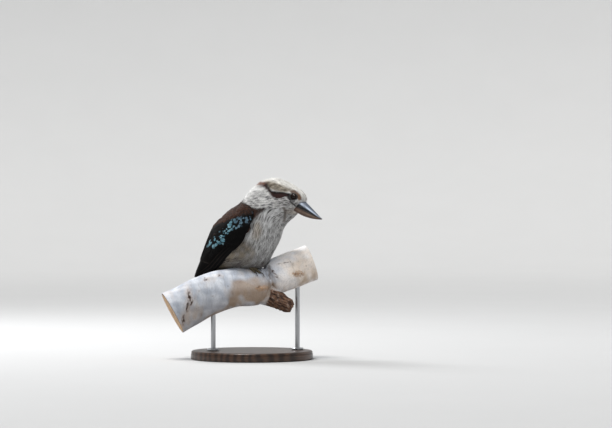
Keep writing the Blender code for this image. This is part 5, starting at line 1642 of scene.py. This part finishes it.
    # the dead stub: flaky, split lengthwise
    down_stub, over_stub = 0.87 * along - 0.49 * p[:, 2], 0.49 * along + 0.87 * p[:, 2]
    flake = np.abs(waves(down_stub / 24, side / 4.2, over_stub / 4.2, 41)) + 0.5 * np.abs(waves(down_stub / 9, side / 2.4, over_stub / 2.4, 42))
    lift += stub * (1.9 * flake - 1.2)
    split = 1 - step(0.04, 0.16, np.abs(waves(down_stub / 40, side / 5.5, over_stub / 5.5, 43)))
    lift -= stub * 1.6 * split
    lift = np.clip(lift, -6, 4.5)
    lift = np.where(clearance_of_feet(p), np.minimum(lift, 0.25), lift)
    p = p + nrm * lift[:, None]
    set_coords(tree_shape, p)
    # colour
    tan = np.clip(waves(along / 46, side / 30, p[:, 2] / 30, 51) * 0.9 + 0.5 * waves(along / 12, side / 12, p[:, 2] / 12, 52), 0, 1)
    under = step(0.15, -0.85, nrm[:, 2])
    xx, yy = x + 6.0 * waves(along / 34, side / 24, p[:, 2] / 24, 55), y + 5.0 * waves(along / 30, side / 20, p[:, 2] / 20, 56)
    under_tan = area(xx, yy, ((228, 294), (236, 283), (250, 278), (262, 280), (268, 284), (276, 292), (262, 304), (232, 306)), 5.0)
    over_tan = area(xx, yy, ((288, 264), (306, 256), (340, 247), (352, 262), (330, 274), (306, 281), (292, 281)), 6.0)
    pale, grey = rgb(215, 219, 227), rgb(168, 175, 188)
    col = mix(pale + 0 * p, grey, np.clip(0.5 + 0.5 * waves(along / 26, side / 16, p[:, 2] / 16, 53), 0, 1) * 0.8)
    # paler over the shoot: partly the bark's own paler colour and partly painted light, strongest on the side turned to
    # the camera
    upper = step(32.0, 60.0, along + 8.0 * waves(side / 16, p[:, 2] / 16, 0, 58)) * (0.55 + 0.45 * facing)
    col = mix(col, rgb(252, 246, 241), 0.88 * upper * (0.8 + 0.2 * waves(along / 14, side / 10, p[:, 2] / 10, 57)))
    # darker towards the left end of the limb: painted shade
    col = luminous(col, 1 - 0.17 * step(-60.0, -125.0, along))
    col = mix(col, rgb(220, 196, 168), 0.60 * np.clip(0.35 * tan + 0.7 * over_tan * facing, 0, 1))
    # darker tan on the underside, by the way the surface faces: painted shade; the tan patch low on the limb, in the
    # same colour, is partly the bark's own tan and partly painted shade
    col = mix(col, rgb(160, 134, 108), np.clip(0.5 * under * (0.5 + tan) + 0.85 * under_tan * facing, 0, 1) * 0.85)
    # darker in the troughs of the wrinkles at the fork, in the crease and along the folds: painted shade in the grooves
    col = mix(col, rgb(132, 122, 114), 0.4 * np.clip(fork * (0.5 - 0.5 * wrinkle), 0, 1) * bark)
    col = mix(col, rgb(120, 104, 90), 0.45 * shaded_crease * bark)
    col = mix(col, rgb(128, 120, 116), 0.34 * fold * bark)
    col = mix(col, rgb(176, 146, 118), 0.5 * stain * bark)
    col = mix(col, rgb(60, 44, 35), np.clip(scars * 1.25, 0, 1) * bark)
    col = mix(col, rgb(176, 142, 112), np.clip(raised * 1.3, 0, 1))
    brown = mix(rgb(128, 96, 76) + 0 * p, rgb(70, 48, 38), np.clip(0.5 + 0.8 * waves(down_stub / 16, side / 3.5, over_stub / 3.5, 44), 0, 1))
    brown = mix(brown, rgb(160, 138, 124), 0.6 * step(0.35, 0.8, waves(down_stub / 9, side / 5, over_stub / 5, 48)))
    brown = mix(brown, rgb(34, 24, 20), 0.8 * split)
    col = mix(col, brown, np.clip(stub * 1.1, 0, 1))
    # sawn ends: rings about the pith
    for line, at in ((LIMB, 0), (SHOOT, -1)):
        mid = heading(line[at][0], line[at][2], line[at][1])
        rr = np.linalg.norm(p - mid, axis=1)
        rings = 0.5 + 0.5 * np.sin(rr * 2.4 + 1.2 * waves(p[:, 0] / 20, p[:, 1] / 20, p[:, 2] / 20, 61))
        here = end * (np.linalg.norm(p - mid, axis=1) < 60)
        wood = mix(rgb(206, 172, 132) + 0 * p, rgb(168, 128, 92), rings * 0.7)
        wood = mix(wood, rgb(140, 100, 72), (1 - step(4, 14, rr)) * 0.7)
        wood = mix(wood, rgb(120, 98, 80), step(line[at][3] - 4, line[at][3] - 1.5, rr))
        col = mix(col, wood, here)
    set_color(tree_shape, col)
    set_color(tree_shape, np.stack([stub, end, bark], -1), "Kind")
    tree_shape.name = "perch_wood"
    mat, tree, shader = material("bark", 0.7, 0.0, 0.0, 0.0, 0.35)
    n = Nodes(tree)
    here = place(n)
    turn = n.tree.nodes.new("ShaderNodeMapping")
    turn.inputs["Rotation"].default_value = (0, 0, -math.radians(BRANCH_TURN))
    tree.links.new(here, turn.inputs["Vector"])
    lengthwise = turn.outputs[0]
    fine = n.noise(lengthwise, 340.0, 6.0, 0.65, (2.2, 1.0, 1.0))
    cracks = n.noise(lengthwise, 95.0, 5.0, 0.7, (2.6, 1.0, 1.0))
    broad = n.noise(here, 28.0, 4.0, 0.55)
    speck = n.noise(here, 520.0, 2.0, 0.5)
    colour = n.mix(painted(n), n.ramp(fine, (0.28, 0.80), (0.72, 1.10)), 0.9, "MULTIPLY")
    colour = n.mix(colour, n.ramp(cracks, (0.30, 0.72), (0.46, 1.0), (0.8, 1.05)), 0.8, "MULTIPLY")
    colour = n.mix(colour, n.ramp(broad, (0.35, 0.88), (0.65, 1.05)), 0.9, "MULTIPLY")
    colour = n.mix(colour, n.ramp(speck, (0.26, 0.45), (0.33, 1.0)), 0.7, "MULTIPLY")
    n.set(shader.inputs["Base Color"], colour)
    n.set(shader.inputs["Roughness"], n.ramp(broad, (0.3, 0.62), (0.7, 0.82)))
    height = n.math("ADD", n.math("MULTIPLY", cracks, 0.8), n.math("MULTIPLY", fine, 0.35))
    n.set(shader.inputs["Normal"], n.bump(height, 0.0012, 0.6))
    tree_shape.data.materials.clear()
    tree_shape.data.materials.append(mat)
    tree_shape.data.shade_smooth()
    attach(tree_shape, "root")
    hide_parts("perch_branch")
    print("branch faces", len(tree_shape.data.polygons))


def clearance_of_feet(p):
    """Where the bark lies under the bird's feet, and stays down."""
    found = np.zeros(len(p), bool)
    for sign in (1, -1):
        found |= (np.hypot(p[:, 0] - FOOT_X[sign] - 5, p[:, 1] - sign * FOOT_Y) < 42) & (p[:, 2] > -20)
    return found


# ------------------------------------------------------------------ stand
def make_stand():
    mat, tree, shader = material("stand_turned_wood", 0.4, 0.0, 0.0, 0.15, 0.4)
    n = Nodes(tree)
    here = place(n)
    wave = tree.nodes.new("ShaderNodeTexWave")
    wave.wave_type, wave.bands_direction = "BANDS", "X"
    wave.inputs["Scale"].default_value = 22.0
    wave.inputs["Distortion"].default_value = 5.0
    wave.inputs["Detail"].default_value = 3.0
    wave.inputs["Detail Scale"].default_value = 1.2
    mapping = tree.nodes.new("ShaderNodeMapping")
    mapping.inputs["Scale"].default_value = (1.0, 0.16, 1.0)
    mapping.inputs["Rotation"].default_value = (0, 0, math.radians(20))
    tree.links.new(here, mapping.inputs["Vector"])
    tree.links.new(mapping.outputs[0], wave.inputs["Vector"])
    pores = n.noise(mapping.outputs[0], 900.0, 4.0, 0.6, (1.0, 0.5, 1.0))
    colour = n.ramp(wave.outputs["Fac"], (0.1, rgb(46, 34, 28)), (0.9, rgb(78, 58, 46)))
    colour = n.mix(colour, n.ramp(pores, (0.34, 0.6), (0.5, 1.0)), 0.8, "MULTIPLY")
    n.set(shader.inputs["Base Color"], colour)
    n.set(shader.inputs["Normal"], n.bump(pores, 0.0002, 0.4))
    # turned base, with a small bead round its edge
    profile = [(0.0, 0.0), (90.0, 0.0), (125.5, 0.0), (126.8, 0.5), (127.6, 1.4), (128.0, 2.6), (128.0, 11.0), (127.6, 12.0), (126.6, 12.5), (126.6, 13.0),
               (127.2, 13.6), (127.2, 15.4), (126.4, 16.8), (125.0, 17.7), (123.0, 18.0), (110.0, 18.0), (60.0, 18.0), (0.0, 18.0)]
    turned_ = np.linspace(0, 2 * np.pi, 160, endpoint=False)
    rings = np.array([[(r * math.cos(q), r * math.sin(q), z - FEET_Z) for q in turned_] for r, z in profile[1:-1]])
    base = new_object("stand_base_turned", *closed_loft(rings))
    outward(base)
    base.data.set_sharp_from_angle(angle=math.radians(35))
    base.data.materials.append(mat)
    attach(base, "root")
    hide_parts("stand_base")
    mat, tree, shader = material("stand_brushed_steel", 0.3, 1.0)
    n = Nodes(tree)
    here = place(n)
    brushed = n.noise(here, 900.0, 3.0, 0.6, (1.0, 1.0, 0.02))
    n.set(shader.inputs["Base Color"], n.ramp(brushed, (0.3, rgb(158, 160, 163)), (0.7, rgb(190, 191, 193))))
    n.set(shader.inputs["Roughness"], n.ramp(brushed, (0.3, 0.24), (0.7, 0.4)))
    for name in ("stand_rod_lower", "stand_rod_upper"):
        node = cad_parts[name]
        node.data.materials.clear()
        node.data.materials.append(mat)


# ------------------------------------------------------------------ stage
def make_stage():
    """A wide pale floor that curves up all round into a low wall far off, and soft light from above on the left."""
    right, away, up = Vector(RIGHT), Vector(AWAY), Vector((0, 0, 1))
    bend = np.radians(np.linspace(0, 90, 24))
    reach = np.concatenate([[0.0, 2.0, 4.0], 7.0 + 4.0 * np.sin(bend), [11.0]])
    rise = np.concatenate([[0.0, 0.0, 0.0], 4.0 - 4.0 * np.cos(bend), [6.5]]) - 0.0005
    round_ = np.linspace(0, 2 * np.pi, 96, endpoint=False)
    rings = np.stack([reach[1:, None] * np.cos(round_), reach[1:, None] * np.sin(round_), rise[1:, None] + 0 * round_], -1)
    points = np.concatenate([rings.reshape(-1, 3), [[0.0, 0.0, rise[0]]]])
    ground = bpy.data.meshes.new("floor_sweep")
    fan = [((k + 1) % 96, k, len(points) - 1) for k in range(96)]
    ground.from_pydata(points.tolist(), [], grid_faces(len(rings), 96, True).tolist() + fan)
    ground.shade_smooth()
    ground.flip_normals()
    floor = bpy.data.objects.new("floor", ground)
    bpy.context.scene.collection.objects.link(floor)
    tint = np.interp(np.hypot(points[:, 0], points[:, 1]), [3.0, 9.0], [0.50, 0.56])
    set_color(floor, np.stack([tint, tint, tint], -1))
    mat, tree, shader = material("floor_pale", 0.9, specular=0.1)
    n = Nodes(tree)
    n.set(shader.inputs["Base Color"], n.mix(painted(n), n.ramp(n.noise(place(n), 3.0, 2.0), (0.3, 0.985), (0.7, 1.0)), 1.0, "MULTIPLY"))
    ground.materials.append(mat)
    bpy.context.scene.view_settings.view_transform = "Standard"
    world = bpy.data.worlds.new("soft_room")
    bpy.context.scene.world = world
    world.use_nodes = True
    back = world.node_tree.nodes["Background"]
    back.inputs["Color"].default_value = (0.90, 0.95, 1.0, 1)
    back.inputs["Strength"].default_value = 0.46

    def lamp(name, at, aim, size, power, colour=(1, 1, 1)):
        data = bpy.data.lights.new(name, "AREA")
        data.shape, data.size, data.size_y = "RECTANGLE", size[0], size[1]
        data.energy, data.color = power, colour
        obj = bpy.data.objects.new(name, data)
        obj.location = at
        obj.rotation_mode = "QUATERNION"
        obj.rotation_quaternion = (Vector(aim) - Vector(at)).to_track_quat("-Z", "Y")
        bpy.context.scene.collection.objects.link(obj)

    middle = Vector((0.0, 0.0, 0.25))
    sun = bpy.data.lights.new("key", "SUN")
    sun.energy, sun.angle, sun.color = 2.9, math.radians(22.0), (1.0, 0.985, 0.96)
    key = bpy.data.objects.new("key", sun)
    key.rotation_mode = "QUATERNION"
    key.rotation_quaternion = (right * 0.40 + away * 0.55 - up * 2.3).to_track_quat("-Z", "Y")
    bpy.context.scene.collection.objects.link(key)
    spot = bpy.data.lights.new("branch_light", "SPOT")
    spot.energy, spot.spot_size, spot.spot_blend, spot.shadow_soft_size = 30.0, math.radians(9.0), 1.0, 0.08
    at = Vector(heading(88.0, 7.0, -6.0) * MM) + Vector((0, 0, FEET_Z * MM))
    small = bpy.data.objects.new("branch_light", spot)
    small.location = at + right * 0.45 - away * 0.95 + up * 0.85
    small.rotation_mode = "QUATERNION"
    small.rotation_quaternion = (at - small.location).to_track_quat("-Z", "Y")
    bpy.context.scene.collection.objects.link(small)
    lamp("rim", middle - right * 1.3 + away * 1.1 + up * 1.6, middle, (0.9, 0.9), 44.0, (0.97, 0.98, 1.0))


def make_camera():
    data = bpy.data.cameras.new("camera")
    data.sensor_width = 36.0
    data.lens = 36.0 * 5.0 / (612 * PER_PIXEL * MM)
    data.dof.use_dof = False
    data.clip_start, data.clip_end = 0.1, 2000.0
    camera = bpy.data.objects.new("camera", data)
    aim = Vector(AIM * MM) + Vector((0, 0, FEET_Z * MM))
    camera.location = aim - Vector(AWAY) * (CAMERA_AWAY * MM)
    camera.rotation_mode = "QUATERNION"
    camera.rotation_quaternion = Vector(AWAY).to_track_quat("-Z", "Y")
    bpy.context.scene.collection.objects.link(camera)
    bpy.context.scene.camera = camera


make_camera()
make_stage()
make_stand()
make_branch()
make_bill()
make_eyes()
make_claws()
make_skin()
soft_coat("coat_head", (0.0, 4.6), (1.6, 1.7, 2.0, 2.2, 2.2), (1.9, 2.2, 2.6, 3.0, 3.0))
soft_coat("coat_neck", (4.6, 8.6), (2.0, 2.0, 2.0, 2.2, 2.2), (3.0, 3.0, 3.2, 3.2, 3.2))
soft_coat("coat_breast", (8.6, 12.0), (2, 2, 2, 2.2, 2.2), (4, 4, 4, 3.6, 3.6))
soft_coat("coat_belly", (12.0, float(LAST)), (2, 2, 2, 2.3, 2.5), (4, 4, 4, 4.0, 4.0))
back_coat()
for side, wing in (("left", WING_LEFT), ("right", WING_RIGHT)):
    flight_coat("coat_flight_" + side, wing, SEED + 21)
    covert_coat("coat_coverts_" + side, wing, SEED + 22)
tail_coat()
